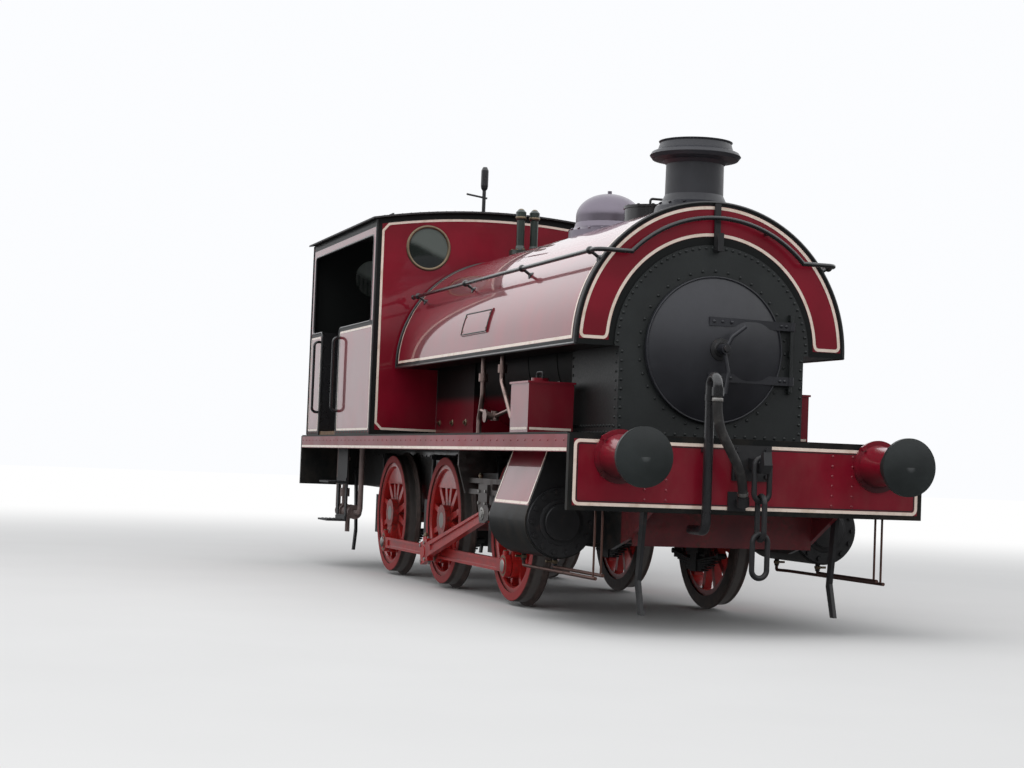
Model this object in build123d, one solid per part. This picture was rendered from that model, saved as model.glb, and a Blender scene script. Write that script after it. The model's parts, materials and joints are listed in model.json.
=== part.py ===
"""Six-coupled saddle tank steam locomotive, in millimetres.

+X is forward, +Y is the locomotive's left, +Z is up. The origin is on the ground below the middle
of the whole length over the buffers, and the wheel flanges reach down to z = 0.
"""
import os
from math import asin, atan2, cos, degrees, pi, radians, sin, sqrt, tan

from build123d import *

os.makedirs("parts", exist_ok=True)

# Wheels, axles and cranks
flange_depth = 28.0
tread_radius = 508.0
back_to_back = 1360.0
tyre_width = 135.0
tyre_thickness = 66.0
rim_depth = 42.0
hub_radius = 122.0
hub_outer_y = 828.0
axle_radius = 75.0
spoke_count = 12
crank_throw = 254.0
crank_pin_radius = 45.0
axle_x = {"front": 1700.0, "middle": -100.0, "rear": -1750.0}
crank_angle = {"right": -90.0, "left": 0.0}

# Clearances
seat_gap = 0.3
running_gap = 0.3
motion_gap = 5.0

# Length and width of the chassis
length_over_beams = 7800.0
beam_half_width = 1194.0
beam_bottom = 740.0
beam_top = 1201.0
beam_thickness = 40.0
footplate_top = 1210.0
footplate_thickness = 16.0
valance_bottom = 1089.0
valance_thickness = 12.0
frame_outer_y = 640.0
frame_thickness = 28.0
frame_bottom = 560.0
horn_bottom = 400.0
axlebox_width = 220.0
axlebox_height = 250.0

# Buffers and drawgear
buffer_spread = 1740.0
buffer_height = 1072.0
buffer_length = 431.0
buffer_head_radius = 180.0

# Boiler, smokebox and tank
boiler_z = 1790.0
boiler_radius = 545.0
smokebox_radius = 650.0
smokebox_ring_radius = 685.0
smokebox_front = 3250.0
smokebox_rear = 2380.0
smokebox_wall = 16.0
door_radius = 480.0
door_opening_radius = 440.0
door_dish = 95.0
door_hinge_y = 545.0
firebox_front = -210.0
firebox_rear = -1420.0
firebox_half_width = 560.0
firebox_bottom = 520.0
tank_radius = 947.0
tank_centre_z = 1808.0
tank_bottom = 1784.0
tank_front = smokebox_front
tank_rear = -1270.0
tank_end_plate = 30.0

# Mountings along the top
chimney_x = 2860.0
chimney_radius = 196.0
chimney_bore = 150.0
chimney_cap_radius = 306.0
chimney_height = 452.0
chimney_lip = 96.0
dome_x = 1250.0
dome_radius = 247.0
dome_height = 297.0
filler_x = 2100.0
filler_radius = 190.0
filler_wall = 20.0
filler_height = 80.0
valve_x = -700.0
valve_spacing = 120.0
valve_height = 395.0
whistle_x = -2000.0
whistle_height = 514.0

# Cab
cab_front_x = -1315.0
cab_rear_x = -3860.0
cab_inset = 44.0
cab_sheet = 12.0
cab_eave = 3066.0
roof_rise = 110.0
roof_thickness = 14.0
roof_overhang = 45.0
waist_z = 2190.0
door_front_x = -2620.0
door_rear_x = -3350.0
window_top = 2935.0
post_width = 95.0
spectacle_y = 690.0
spectacle_z = 2840.0
spectacle_radius = 180.0
rear_window_y = 552.0
rear_window_z = 2780.0
floor_thickness = 36.0

# Cylinders and motion
rod_plane_y = 940.0
cylinder_z = 640.0
cylinder_radius = 235.0
cylinder_front = 3060.0
cylinder_rear = 2290.0
cover_thickness = 28.0
piston_rod_radius = 32.0
con_rod_length = 1650.0
con_rod_width = 50.0
coupling_rod_y = 855.0
coupling_rod_width = 40.0
pin_end_y = 882.0
gudgeon_radius = 38.0
bar_rear = 1080.0
bar_low_z = 775.0
bar_depth = 36.0
slipper_depth = 44.0
bar_width = 48.0
cheek_thickness = 20.0
jaw_gap = 54.0

# Handrails, steps and pipes
rail_radius = 15.0
rail_stand_off = 82.0
rail_angle = 34.5
front_rail_radius = 840.0
front_rail_x = 3310.0
step_x = -2850.0
step_length = 380.0
step_depth = 185.0
step_inset = 9.0
step_heights = (430.0, 780.0)
brake_pipe_y = -318.0
brake_pipe_rise = 450.0
brake_pipe_radius = 30.0
link_bar = 17.0
link_width = 134.0
link_length = 300.0
plate_x = (640.0, 1300.0)
plate_z = (1960.0, 2140.0)
sandbox_x = (2220.0, 2600.0)
sandbox_y = (710.0, 1030.0)
sandbox_height = 350.0

# Worked out from the sizes above
cab_half_width = beam_half_width - cab_inset
tank_crown = tank_centre_z + tank_radius
chimney_top = tank_crown + chimney_height
chimney_cap_z = chimney_top - chimney_lip
dome_top = tank_crown + dome_height
filler_top = tank_crown + filler_height
valve_top = tank_crown + valve_height
whistle_top = cab_eave + roof_rise + whistle_height
brake_pipe_top = buffer_height + brake_pipe_rise
step_inner_y = beam_half_width - step_inset - step_depth
axle_z = flange_depth + tread_radius
front_face = length_over_beams / 2
rear_face = -front_face
footplate_under = footplate_top - footplate_thickness
wheel_in = back_to_back / 2
wheel_out = wheel_in + tyre_width
tyre_inner_radius = tread_radius - tyre_thickness


def crank(side):
    """Offset of a side's crank pin from its axle, as x and z."""
    angle = radians(crank_angle[side])
    return crank_throw * cos(angle), crank_throw * sin(angle)


def crosshead_x(side):
    """Place of a side's crosshead pin for the crank as it stands."""
    dx, dz = crank(side)
    drop = cylinder_z - (axle_z + dz)
    return axle_x["middle"] + dx + sqrt(con_rod_length ** 2 - drop ** 2)


def span(x, y, z):
    """A box between two limits on each axis."""
    size = [abs(b - a) for a, b in (x, y, z)]
    middle = [(a + b) / 2 for a, b in (x, y, z)]
    return Pos(*middle) * Box(*size)


def rod_x(radius, x0, x1, y, z):
    return Pos((x0 + x1) / 2, y, z) * Rot(0, 90, 0) * Cylinder(radius, abs(x1 - x0))


def rod_y(radius, x, y0, y1, z):
    return Pos(x, (y0 + y1) / 2, z) * Rot(90, 0, 0) * Cylinder(radius, abs(y1 - y0))


def rod_z(radius, x, y, z0, z1):
    return Pos(x, y, (z0 + z1) / 2) * Cylinder(radius, abs(z1 - z0))


def side_view(points, y0, y1):
    """An outline in x and z, as thick as y0 to y1."""
    face = make_face(Plane.XZ * Polyline(*points, close=True))
    return Pos(0, min(y0, y1), 0) * extrude(face, abs(y1 - y0), dir=(0, 1, 0))


def end_view(points, x0, x1):
    """An outline in y and z, as long as x0 to x1."""
    face = make_face(Plane.YZ * Polyline(*points, close=True))
    return Pos(min(x0, x1), 0, 0) * extrude(face, abs(x1 - x0), dir=(1, 0, 0))


def arch(radius, centre_z, bottom, x0, x1):
    """A round-topped section with upright sides, as long as x0 to x1."""
    top = Pos(0, centre_z) * Circle(radius)
    low = Pos(0, (centre_z + bottom) / 2) * Rectangle(2 * radius, centre_z - bottom)
    cut = Pos(0, bottom - radius) * Rectangle(4 * radius, 2 * radius)
    face = Plane.YZ * ((top + low) - cut)
    return Pos(min(x0, x1), 0, 0) * extrude(face, abs(x1 - x0), dir=(1, 0, 0))


def turned(points, x, y):
    """A shape turned about an upright line, from points of radius and height."""
    face = make_face(Plane.XZ * Polyline(*points, close=True))
    return Pos(x, y, 0) * revolve(face, Axis.Z)


def turned_x(section, y, z):
    """A closed line of x and radius, turned about a line along the length."""
    return Pos(0, y, z) * revolve(make_face(section), Axis.X)


def dome_at(tip, rise, radius, at, end=1):
    """Where a dome of this rise and radius lies at a distance from its axis."""
    ball = (radius ** 2 + rise ** 2) / (2 * rise)
    return tip - end * (ball - sqrt(ball ** 2 - at ** 2))


def other_side(shape):
    return mirror(shape, Plane.XZ)


def pair(shape):
    return [shape, other_side(shape)]


def pipe(points, radius, bend):
    """A round bar along a bent line."""
    path = FilletPolyline(*points, radius=bend) if len(points) > 2 else Line(*points)
    section = Plane(origin=path @ 0, z_dir=path % 0) * Circle(radius)
    return sweep(section, path=path)


def save(name, *pieces):
    """Write one node. Its pieces may be several solids that don't touch."""
    solids = [s for p in pieces for s in (p if isinstance(p, list) else [p]) for s in s.solids()]
    shape = solids[0] if len(solids) == 1 else Compound(solids)
    export_step(shape, f"parts/{name}.step")


def wheel_pair(name):
    """Both wheel centres and both tyres of one axle, and the axle with its crank pins."""
    x = axle_x[name]
    tyres = []
    wheels = rod_y(axle_radius, x, -hub_outer_y, hub_outer_y, axle_z)
    for side, sign in (("right", -1), ("left", 1)):
        tyre_section = [
            (tyre_inner_radius, wheel_in),
            (tread_radius + flange_depth - 8, wheel_in),
            (tread_radius + flange_depth, wheel_in + 9),
            (tread_radius + flange_depth, wheel_in + 17),
            (tread_radius + 10, wheel_in + 30),
            (tread_radius, wheel_in + 42),
            (tread_radius - 4, wheel_out - 6),
            (tread_radius - 10, wheel_out),
            (tyre_inner_radius, wheel_out),
        ]
        face = make_face(Plane.XY * Polyline(*tyre_section, close=True))
        tyre = revolve(face, Axis.Y)
        rim_section = [
            (tyre_inner_radius - rim_depth, wheel_in + 12),
            (tyre_inner_radius, wheel_in + 12),
            (tyre_inner_radius, wheel_out - 12),
            (tyre_inner_radius - rim_depth + 10, wheel_out - 12),
            (tyre_inner_radius - rim_depth, wheel_out - 24),
        ]
        rim = revolve(make_face(Plane.XY * Polyline(*rim_section, close=True)), Axis.Y)
        hub = rod_y(hub_radius, 0, wheel_in - 8, hub_outer_y, 0)
        centre = rim + hub
        spoke_face = make_face(Plane.XZ * Polyline(
            (hub_radius - 20, -30), (tyre_inner_radius - rim_depth + 8, -20),
            (tyre_inner_radius - rim_depth + 8, 20), (hub_radius - 20, 30), close=True))
        spoke = Pos(0, wheel_in + 37, 0) * extrude(spoke_face, 58, dir=(0, 1, 0))
        for i in range(spoke_count):
            centre += Rot(0, (i + 0.5) * 360 / spoke_count, 0) * spoke
        dx, dz = crank(side)
        boss = rod_y(crank_pin_radius + 42, dx, wheel_in + 30, hub_outer_y, dz)
        web_angle = degrees(atan2(dz, dx))
        web = Rot(0, -web_angle, 0) * span((0, crank_throw), (wheel_in + 34, hub_outer_y - 4), (-72, 72))
        centre += boss + web
        weight = rod_y(tyre_inner_radius - rim_depth + 6, 0, wheel_in + 32, wheel_in + 100, 0)
        reach = tyre_inner_radius
        keep = Rot(0, -web_angle, 0) * span((-reach, -tyre_inner_radius * 0.58), (0, 2000), (-reach, reach))
        centre += weight & keep
        centre += rod_y(crank_pin_radius, dx, wheel_in + 30, pin_end_y, dz)
        rod_face = coupling_rod_y + coupling_rod_width / 2 + running_gap
        centre += rod_y(crank_pin_radius + 12, dx, rod_face, pin_end_y, dz)
        wheels += Pos(x, 0, axle_z) * (centre if sign > 0 else other_side(centre))
        tyres.append(Pos(x, 0, axle_z) * (tyre if sign > 0 else other_side(tyre)))
    save(f"tyres_{name}", tyres)
    save(f"wheels_{name}", wheels)


def coupling_rod(side):
    sign = -1 if side == "right" else 1
    dx, dz = crank(side)
    y0 = coupling_rod_y - coupling_rod_width / 2
    y1 = coupling_rod_y + coupling_rod_width / 2
    pins = [x + dx for x in axle_x.values()]
    rod = span((pins[2], pins[0]), (y0, y1), (-45, 45))
    for front, rear in ((pins[0], pins[1]), (pins[1], pins[2])):
        flute = span((rear + 150, front - 150), (y1 - 12, y1 + 5), (-24, 24))
        rod -= flute
    for x in pins:
        rod += rod_y(82, x, y0, y1, 0)
        rod += rod_z(22, x, (y0 + y1) / 2, 60, 104) & span((x - 90, x + 90), (y0, y1), (0, 200))
        rod -= rod_y(crank_pin_radius + running_gap, x, 0, 2000, 0)
    rod = Pos(0, 0, axle_z + dz) * rod
    save(f"coupling_rod_{side}", rod if sign > 0 else other_side(rod))


def connecting_rod(side):
    """Rod from the crosshead pin down to its big end over the driving crank pin."""
    dx, dz = crank(side)
    y0 = rod_plane_y - con_rod_width / 2
    y1 = rod_plane_y + con_rod_width / 2
    drop = cylinder_z - (axle_z + dz)
    angle = degrees(asin(drop / con_rod_length))
    length = con_rod_length
    bar = side_view([(-45, -40), (-length + 90, -56), (-length + 90, 56), (-45, 40)], y0, y1)
    bar -= span((-length + 190, -150), (y1 - 14, y1 + 5), (-24, 24))
    bar += rod_y(64, 0, y0, y1, 0)
    bar += span((-length - 95, -length + 105), (y0, y1), (-88, 88))
    bar -= rod_y(gudgeon_radius + running_gap, 0, 0, 2000, 0)
    journal = rod_y(crank_pin_radius, -length, pin_end_y + motion_gap + 1, y1 + 6, 0)
    bar += journal
    bar += rod_z(24, -length, rod_plane_y, 80, 118)
    rod = Pos(crosshead_x(side), 0, cylinder_z) * Rot(0, -angle, 0) * bar
    save(f"connecting_rod_{side}", rod if side == "left" else other_side(rod))


def crosshead(side):
    x = crosshead_x(side)
    half_jaw = jaw_gap / 2
    slipper_low = bar_low_z + bar_depth + running_gap
    slipper_high = slipper_low + slipper_depth - 2 * running_gap
    half_bar = bar_width / 2
    body = span((x - 150, x + 150), (rod_plane_y - half_bar, rod_plane_y + half_bar),
                (slipper_low, slipper_high))
    for sign in (-1, 1):
        inner = rod_plane_y + sign * half_jaw
        outer = inner + sign * cheek_thickness
        cheek = side_view([(x - 105, slipper_high - 6), (x - 105, 700), (x - 62, 575), (x + 62, 575),
                           (x + 135, 600), (x + 135, 690), (x + 105, 720), (x + 105, slipper_high - 6)],
                          min(inner, outer), max(inner, outer))
        body += cheek
    wide = half_jaw + cheek_thickness
    body += span((x - 104, x + 104), (rod_plane_y - wide, rod_plane_y + wide),
                 (slipper_low + 6, slipper_high - 6))
    body += span((x + 78, x + 150), (rod_plane_y - wide, rod_plane_y + wide),
                 (cylinder_z - 42, cylinder_z + 42))
    body += rod_x(46, x + 140, x + 190, rod_plane_y, cylinder_z)
    body += rod_x(piston_rod_radius, x + 150, x + 1090, rod_plane_y, cylinder_z)
    body += rod_y(gudgeon_radius, x, rod_plane_y - wide, rod_plane_y + wide, cylinder_z)
    save(f"crosshead_{side}", body if side == "left" else other_side(body))


def cylinder_section(grow):
    """Outline of the cylinder casting in y and z, grown outwards by a thickness."""
    r = cylinder_radius + grow
    high = footplate_under - 40 + grow
    inner_y = frame_outer_y + seat_gap
    circle = Pos(rod_plane_y, cylinder_z) * Circle(r)
    flank = make_face(Polyline(
        (inner_y, cylinder_z - 120), (inner_y, high), (1010 + grow, high),
        (rod_plane_y + r * cos(radians(20)), cylinder_z + r * sin(radians(20))),
        (rod_plane_y, cylinder_z - r * 0.7), close=True))
    return circle + flank


def cylinders():
    core_shrink = 6.0
    casting_face = Plane.YZ * cylinder_section(-core_shrink)
    jacket_face = Plane.YZ * (cylinder_section(0) - cylinder_section(-core_shrink))
    length = cylinder_front - cylinder_rear
    casting = Pos(cylinder_rear, 0, 0) * extrude(casting_face, length, dir=(1, 0, 0))
    for x0, x1 in ((cylinder_rear - cover_thickness, cylinder_rear),
                   (cylinder_front, cylinder_front + cover_thickness)):
        casting += rod_x(cylinder_radius - 12, x0, x1, rod_plane_y, cylinder_z)
    casting += rod_x(120, cylinder_front, cylinder_front + 62, rod_plane_y, cylinder_z)
    casting += rod_x(78, cylinder_rear - 88, cylinder_rear, rod_plane_y, cylinder_z)
    casting -= rod_x(piston_rod_radius + running_gap, cylinder_rear - 200, cylinder_front - 120,
                     rod_plane_y, cylinder_z)
    jacket = Pos(cylinder_rear, 0, 0) * extrude(jacket_face, length, dir=(1, 0, 0))
    for x in (cylinder_rear + 70, cylinder_front - 70):
        low = cylinder_z - cylinder_radius
        casting += rod_z(16, x, rod_plane_y, low - 45, low + 40)
        jacket -= rod_z(16 + seat_gap, x, rod_plane_y, low - 60, low + 40)
    save("cylinders", pair(casting))
    save("cylinder_jackets", pair(jacket))


def slide_bars():
    rear_x = cylinder_rear - cover_thickness
    half = bar_width / 2
    y0, y1 = rod_plane_y - half, rod_plane_y + half
    low = span((bar_rear - 30, rear_x), (y0, y1), (bar_low_z, bar_low_z + bar_depth))
    high_z = bar_low_z + bar_depth + slipper_depth
    high = span((bar_rear - 30, rear_x), (y0, y1), (high_z, high_z + bar_depth))
    end_block = span((rear_x - 60, rear_x), (y0, y1), (bar_low_z, high_z + bar_depth))
    bracket_y = rod_plane_y + jaw_gap / 2 + cheek_thickness
    coupling_top = axle_z + crank_throw + 110
    top = footplate_under
    bracket = end_view([
        (frame_outer_y, top), (frame_outer_y, coupling_top + 30), (rod_plane_y - 50, coupling_top + 30),
        (rod_plane_y - 50, bar_low_z), (bracket_y, bar_low_z), (bracket_y + 60, coupling_top + 80),
        (bracket_y + 60, top)], bar_rear - 30, bar_rear)
    bars = low + high + end_block + bracket
    save("slide_bars", pair(bars))


def frames():
    """Both frame plates, cut for the axleboxes, and the stretchers between them."""
    end_x = front_face - beam_thickness
    rear_axle = axle_x["rear"]
    under_cylinders = frame_bottom - 80
    outline = [(end_x, footplate_under), (end_x, beam_bottom + 10), (cylinder_front + 440, frame_bottom),
               (cylinder_front + 140, under_cylinders), (cylinder_rear - 90, under_cylinders),
               (cylinder_rear - 190, frame_bottom)]
    for x in axle_x.values():
        outline += [(x + 260, frame_bottom), (x + 170, horn_bottom),
                    (x - 170, horn_bottom), (x - 260, frame_bottom)]
    outline += [(rear_axle - 550, frame_bottom), (rear_axle - 1150, beam_bottom),
                (-end_x, beam_bottom + 10), (-end_x, footplate_under)]
    plate = side_view(outline, frame_outer_y - frame_thickness, frame_outer_y)
    slot_half = axlebox_width / 2
    for x in axle_x.values():
        plate -= span((x - slot_half, x + slot_half), (500, 700), (300, axle_z + axlebox_height / 2 + 40))
    shell = plate + other_side(plate)
    inner = frame_outer_y - frame_thickness
    low, high = frame_bottom - 40, footplate_under - 44
    stretchers = (
        (cylinder_front - 60, low, high),
        (cylinder_rear + 40, low, high),
        (axle_x["middle"] + 860, low + 80, high - 50),
        (rear_axle - 750, low + 100, high),
        (cylinder_front + 440, low, high),
        (rear_axle - 1650, beam_bottom + 40, high),
    )
    for x, z0, z1 in stretchers:
        shell += span((x, x + 30), (-inner, inner), (z0, z1))
    save("frames", shell)


def axleboxes():
    boxes = []
    half = axlebox_width / 2 - seat_gap
    for x in axle_x.values():
        box = span((x - half, x + half), (frame_outer_y - frame_thickness - 40, frame_outer_y + 14),
                   (axle_z - axlebox_height / 2, axle_z + axlebox_height / 2))
        box -= rod_y(axle_radius + running_gap, x, 0, 2000, axle_z)
        boxes += pair(box)
    save("axleboxes", boxes)


def springs():
    packs = []
    y0, y1 = frame_outer_y - frame_thickness - 22, frame_outer_y + 8
    box_low = axle_z - axlebox_height / 2
    for x in axle_x.values():
        pack = span((x - 55, x + 55), (y0 - 6, y1 + 6), (box_low - 140, box_low - seat_gap))
        for i in range(6):
            reach = 420 - 55 * i
            z = box_low - 60 - 13 * i
            sag = 60 * (reach / 420) ** 2
            leaf = side_view([(x - reach, z + sag), (x, z), (x + reach, z + sag),
                              (x + reach, z + sag - 12), (x, z - 13), (x - reach, z + sag - 12)], y0, y1)
            pack += leaf
        for sign in (-1, 1):
            pack += rod_y(20, x + sign * 410, y0, y1, box_low - 8)
        packs += pair(pack)
    save("springs", packs)


def beams_and_footplate():
    beams = [span((x0, x0 + beam_thickness), (-beam_half_width, beam_half_width), (beam_bottom, beam_top))
             for x0 in (front_face - beam_thickness, rear_face)]
    save("buffer_beams", beams)
    inner = front_face - beam_thickness
    plate = span((-inner, inner), (-beam_half_width, beam_half_width), (footplate_under, footplate_top))
    hole_x = (firebox_rear - 20, firebox_front + 40)
    hole_y = (-firebox_half_width - 15, firebox_half_width + 15)
    plate -= span(hole_x, hole_y, (footplate_under - 5, footplate_top + 5))
    for sign in (-1, 1):
        y0 = sign * beam_half_width
        y1 = sign * (beam_half_width - valance_thickness)
        plate += span((-inner, inner), (y0, y1), (valance_bottom, footplate_under))
    save("footplate", plate)


def buffers():
    stocks, heads = [], []
    stock_length = buffer_length * 0.62
    base_thickness = 22
    taper_length = stock_length - base_thickness
    head_thickness = 45.0
    head_rise = 18.0
    for end, face in ((1, front_face), (-1, rear_face)):
        for sign in (-1, 1):
            y = sign * buffer_spread / 2
            base = rod_x(165, face, face + end * base_thickness, y, buffer_height)
            middle = face + end * (base_thickness + taper_length / 2)
            taper = Rot(0, end * 90, 0) * Cone(135, 98, taper_length)
            stocks.append(base + Pos(middle, y, buffer_height) * taper)
            start = face + end * (stock_length + seat_gap)
            tip = face + end * buffer_length
            back = tip - end * head_thickness
            radius = buffer_head_radius
            edge = tip - end * head_rise
            half = (dome_at(tip, head_rise, radius, radius / 2, end), radius / 2)
            section = Polyline((tip, 0), (start, 0), (start, 62), (back, 62), (back, radius), (edge, radius))
            section += ThreePointArc((edge, radius), half, (tip, 0))
            heads.append(turned_x(section, y, buffer_height))
    save("buffer_stocks", stocks)
    save("buffer_heads", heads)


def smokebox():
    r, wall = smokebox_radius, smokebox_wall
    shell = arch(r, boiler_z, footplate_top, smokebox_rear, smokebox_front)
    shell += arch(smokebox_ring_radius, boiler_z, tank_bottom, smokebox_front - 40, smokebox_front + 12)
    shell += arch(r, boiler_z, footplate_top, smokebox_front - 1, smokebox_front + 12)
    shell += arch(smokebox_ring_radius, boiler_z, tank_bottom, smokebox_rear, smokebox_rear + 40)
    inside_floor = footplate_top + 40
    shell -= arch(r - wall, boiler_z, inside_floor, smokebox_rear + wall, smokebox_front - wall)
    shell -= rod_x(door_opening_radius, smokebox_front - 60, smokebox_front + 60, 0, boiler_z)
    shell -= rod_z(chimney_bore, chimney_x, 0, boiler_z + 300, boiler_z + 1000)
    shell += rod_z(75, chimney_x, 0, inside_floor - 5, boiler_z - 60)
    hinge_x = smokebox_front + 12 + motion_gap + 24
    shell += rod_z(14, hinge_x, door_hinge_y, boiler_z - 250, boiler_z + 250)
    for z in (-240, 0, 240):
        shell += span((smokebox_front + 10, hinge_x + 6), (door_hinge_y - 14, door_hinge_y + 14),
                      (boiler_z + z - 18, boiler_z + z + 18))
    save("smokebox", shell)


def smokebox_door():
    x0 = smokebox_front + 12 + motion_gap
    rim = 24.0
    tip = x0 + rim + door_dish
    edge = door_radius - 12
    inner_edge = edge - 48
    thickness = 14.0
    half = (dome_at(tip, door_dish, edge, edge / 2), edge / 2)
    ball = (edge ** 2 + door_dish ** 2) / (2 * door_dish) - thickness
    inner_tip = tip - thickness
    inner_rise = ball - sqrt(ball ** 2 - inner_edge ** 2)
    inner_half = (dome_at(inner_tip, inner_rise, inner_edge, inner_edge / 2), inner_edge / 2)
    section = Line((inner_tip, 0), (tip, 0)) + ThreePointArc((tip, 0), half, (x0 + rim, edge))
    section += Polyline((x0 + rim, edge), (x0 + rim, door_radius), (x0, door_radius), (x0, inner_edge),
                        (inner_tip - inner_rise, inner_edge))
    section += ThreePointArc((inner_tip - inner_rise, inner_edge), inner_half, (inner_tip, 0))
    door = turned_x(section, 0, boiler_z)
    for dz in (-180, 180):
        low, high = boiler_z + dz - 28, boiler_z + dz + 28
        reach = sqrt(edge ** 2 - 180 ** 2)
        rise = tip - door_dish * (180 / edge) ** 2
        bend_x = tip - door_dish * 0.42
        strap = Plane.XY * make_face(Polyline(
            (rise - 8, -80), (rise + 10, -80), (rise + 8, 60), (bend_x, 240),
            (x0 + rim + 12, reach), (x0 + rim + 12, door_hinge_y), (x0 + 6, door_hinge_y),
            (x0 + 6, reach + 4), (x0 + rim - 8, reach - 12), (bend_x - 22, 240), (rise - 8, 60), close=True))
        door += Pos(0, 0, low) * extrude(strap, high - low, dir=(0, 0, 1))
        door += rod_z(24, x0 + 24, door_hinge_y, low, high)
    door -= rod_z(14 + running_gap, x0 + 24, door_hinge_y, boiler_z - 400, boiler_z + 400)
    door += rod_x(34, tip - 10, tip + 95, 0, boiler_z)
    handle = [(tip + 50, 0, boiler_z), (tip + 62, 30, boiler_z - 150), (tip + 66, 10, boiler_z - 290)]
    locking_handle = [(tip + 80, 0, boiler_z), (tip + 86, 40, boiler_z + 80), (tip + 86, 130, boiler_z + 150)]
    door += pipe(handle, 14, 60)
    door += pipe(locking_handle, 14, 40)
    save("smokebox_door", door)


def tank_top_cut():
    return rod_x(tank_radius + seat_gap, rear_face, front_face, 0, tank_centre_z)


def saddle_tank():
    tank = arch(tank_radius, tank_centre_z, tank_bottom, tank_rear, tank_front)
    inner = smokebox_ring_radius + seat_gap
    tank -= arch(inner, boiler_z, tank_bottom - 10, tank_rear + tank_end_plate, tank_front + 10)
    tank -= arch(firebox_half_width + seat_gap, boiler_z, tank_bottom - 10, tank_rear - 10, tank_rear + 100)
    tank -= rod_z(chimney_radius + 12, chimney_x, 0, boiler_z, tank_crown + 10)
    tank -= rod_z(filler_radius - filler_wall, filler_x, 0, tank_crown - 160, tank_crown + 10)
    save("saddle_tank", tank)


def chimney():
    lowest = boiler_z + smokebox_radius
    crown = tank_crown
    cap = chimney_cap_z
    top = chimney_top
    outer = turned([
        (chimney_bore, lowest - 40), (chimney_radius, lowest - 40), (chimney_radius, crown + 70),
        (chimney_radius - 2, cap - 60), (chimney_radius + 22, cap - 38), (chimney_cap_radius - 18, cap - 24),
        (chimney_cap_radius, cap), (chimney_cap_radius - 14, cap + 22), (chimney_radius + 58, cap + 38),
        (chimney_radius + 44, top - 14), (chimney_radius + 52, top), (chimney_bore, top)], chimney_x, 0)
    radius = chimney_radius
    flare = turned([
        (radius - 10, crown - 100), (radius + 90, crown - 100), (radius + 62, crown + 6),
        (radius + 24, crown + 40), (radius, crown + 90), (radius - 10, crown + 90)], chimney_x, 0)
    flare -= tank_top_cut()
    outer -= rod_x(smokebox_radius + seat_gap, smokebox_rear, smokebox_front, 0, boiler_z)
    save("chimney", outer + flare)


def dome():
    crown = tank_crown
    straight = dome_top - dome_radius * 0.72
    skirt = turned([(0, crown - 120), (dome_radius + 62, crown - 120), (dome_radius + 50, crown + 4),
                    (dome_radius + 14, crown + 30), (dome_radius, crown + 70), (dome_radius, straight),
                    (0, straight)], dome_x, 0)
    top = Pos(dome_x, 0, straight) * scale(Sphere(dome_radius), (1, 1, 0.72))
    body = skirt + top + rod_z(16, dome_x, 0, dome_top - 5, dome_top + 22)
    body -= tank_top_cut()
    save("dome", body)


def filler():
    bore = filler_radius - filler_wall
    neck = rod_z(filler_radius, filler_x, 0, tank_crown - 120, filler_top)
    neck -= tank_top_cut()
    hinge_x = filler_x - filler_radius - 26
    for y in (-60, 60):
        ear = (y - 12, y + 12)
        neck += span((hinge_x - 14, filler_x - filler_radius + 30), ear, (filler_top - 60, filler_top - 1))
        neck += span((hinge_x - 14, hinge_x + 12), ear, (filler_top - 10, filler_top + 22))
    neck += rod_y(7, hinge_x, -72, 72, filler_top + 10)
    neck -= rod_z(bore, filler_x, 0, tank_crown - 200, filler_top + 40)
    save("filler_neck", neck)
    lid = rod_z(filler_radius + 8, filler_x, 0, filler_top + 1, filler_top + 20)
    lid += rod_z(60, filler_x, 0, filler_top + 18, filler_top + 34)
    lid += span((hinge_x, filler_x - filler_radius + 20), (-44, 44), (filler_top + 1, filler_top + 20))
    lid += rod_y(13, hinge_x, -44, 44, filler_top + 10)
    lid -= rod_y(7 + running_gap, hinge_x, -100, 100, filler_top + 10)
    lid += pipe([(filler_x + 150, -70, filler_top + 16), (filler_x + 150, -70, filler_top + 60),
                 (filler_x + 150, 70, filler_top + 60), (filler_x + 150, 70, filler_top + 16)], 9, 18)
    save("filler_lid", lid)


def safety_valves():
    crown = tank_crown
    base = rod_z(150, valve_x, 0, crown - 60, crown + 45)
    base -= tank_top_cut()
    for sign in (-1, 1):
        y = sign * valve_spacing / 2
        column = [(0, crown + 30), (46, crown + 30), (40, crown + 70), (34, crown + 90),
                  (34, valve_top - 90), (44, valve_top - 80), (44, valve_top - 20), (26, valve_top),
                  (0, valve_top)]
        base += turned(column, valve_x, y)
    save("safety_valves", base)


def whistle():
    z0 = cab_eave + roof_rise
    body = turned([(0, z0 - 60), (30, z0 - 60), (30, z0 + 12), (17, z0 + 30), (17, z0 + 300), (30, z0 + 320),
                   (34, z0 + 345), (34, whistle_top - 30), (20, whistle_top), (0, whistle_top)], whistle_x, 0)
    radius, centre = roof_arc()
    body -= rod_x(radius + roof_thickness + seat_gap, whistle_x - 100, whistle_x + 100, 0, centre)
    body += pipe([(whistle_x, 30, z0 + 232), (whistle_x, -165, z0 + 258)], 9, 5)
    save("whistle", body)


def roof_arc():
    """Radius of the roof's underside and the height of its centre."""
    radius = (cab_half_width ** 2 + roof_rise ** 2) / (2 * roof_rise)
    return radius, cab_eave + roof_rise - radius


def under_roof(sheet):
    """Trim a cab sheet so that the roof rests on it."""
    radius, centre = roof_arc()
    return sheet & rod_x(radius - seat_gap, cab_rear_x - 500, cab_front_x + 500, 0, centre)


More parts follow.
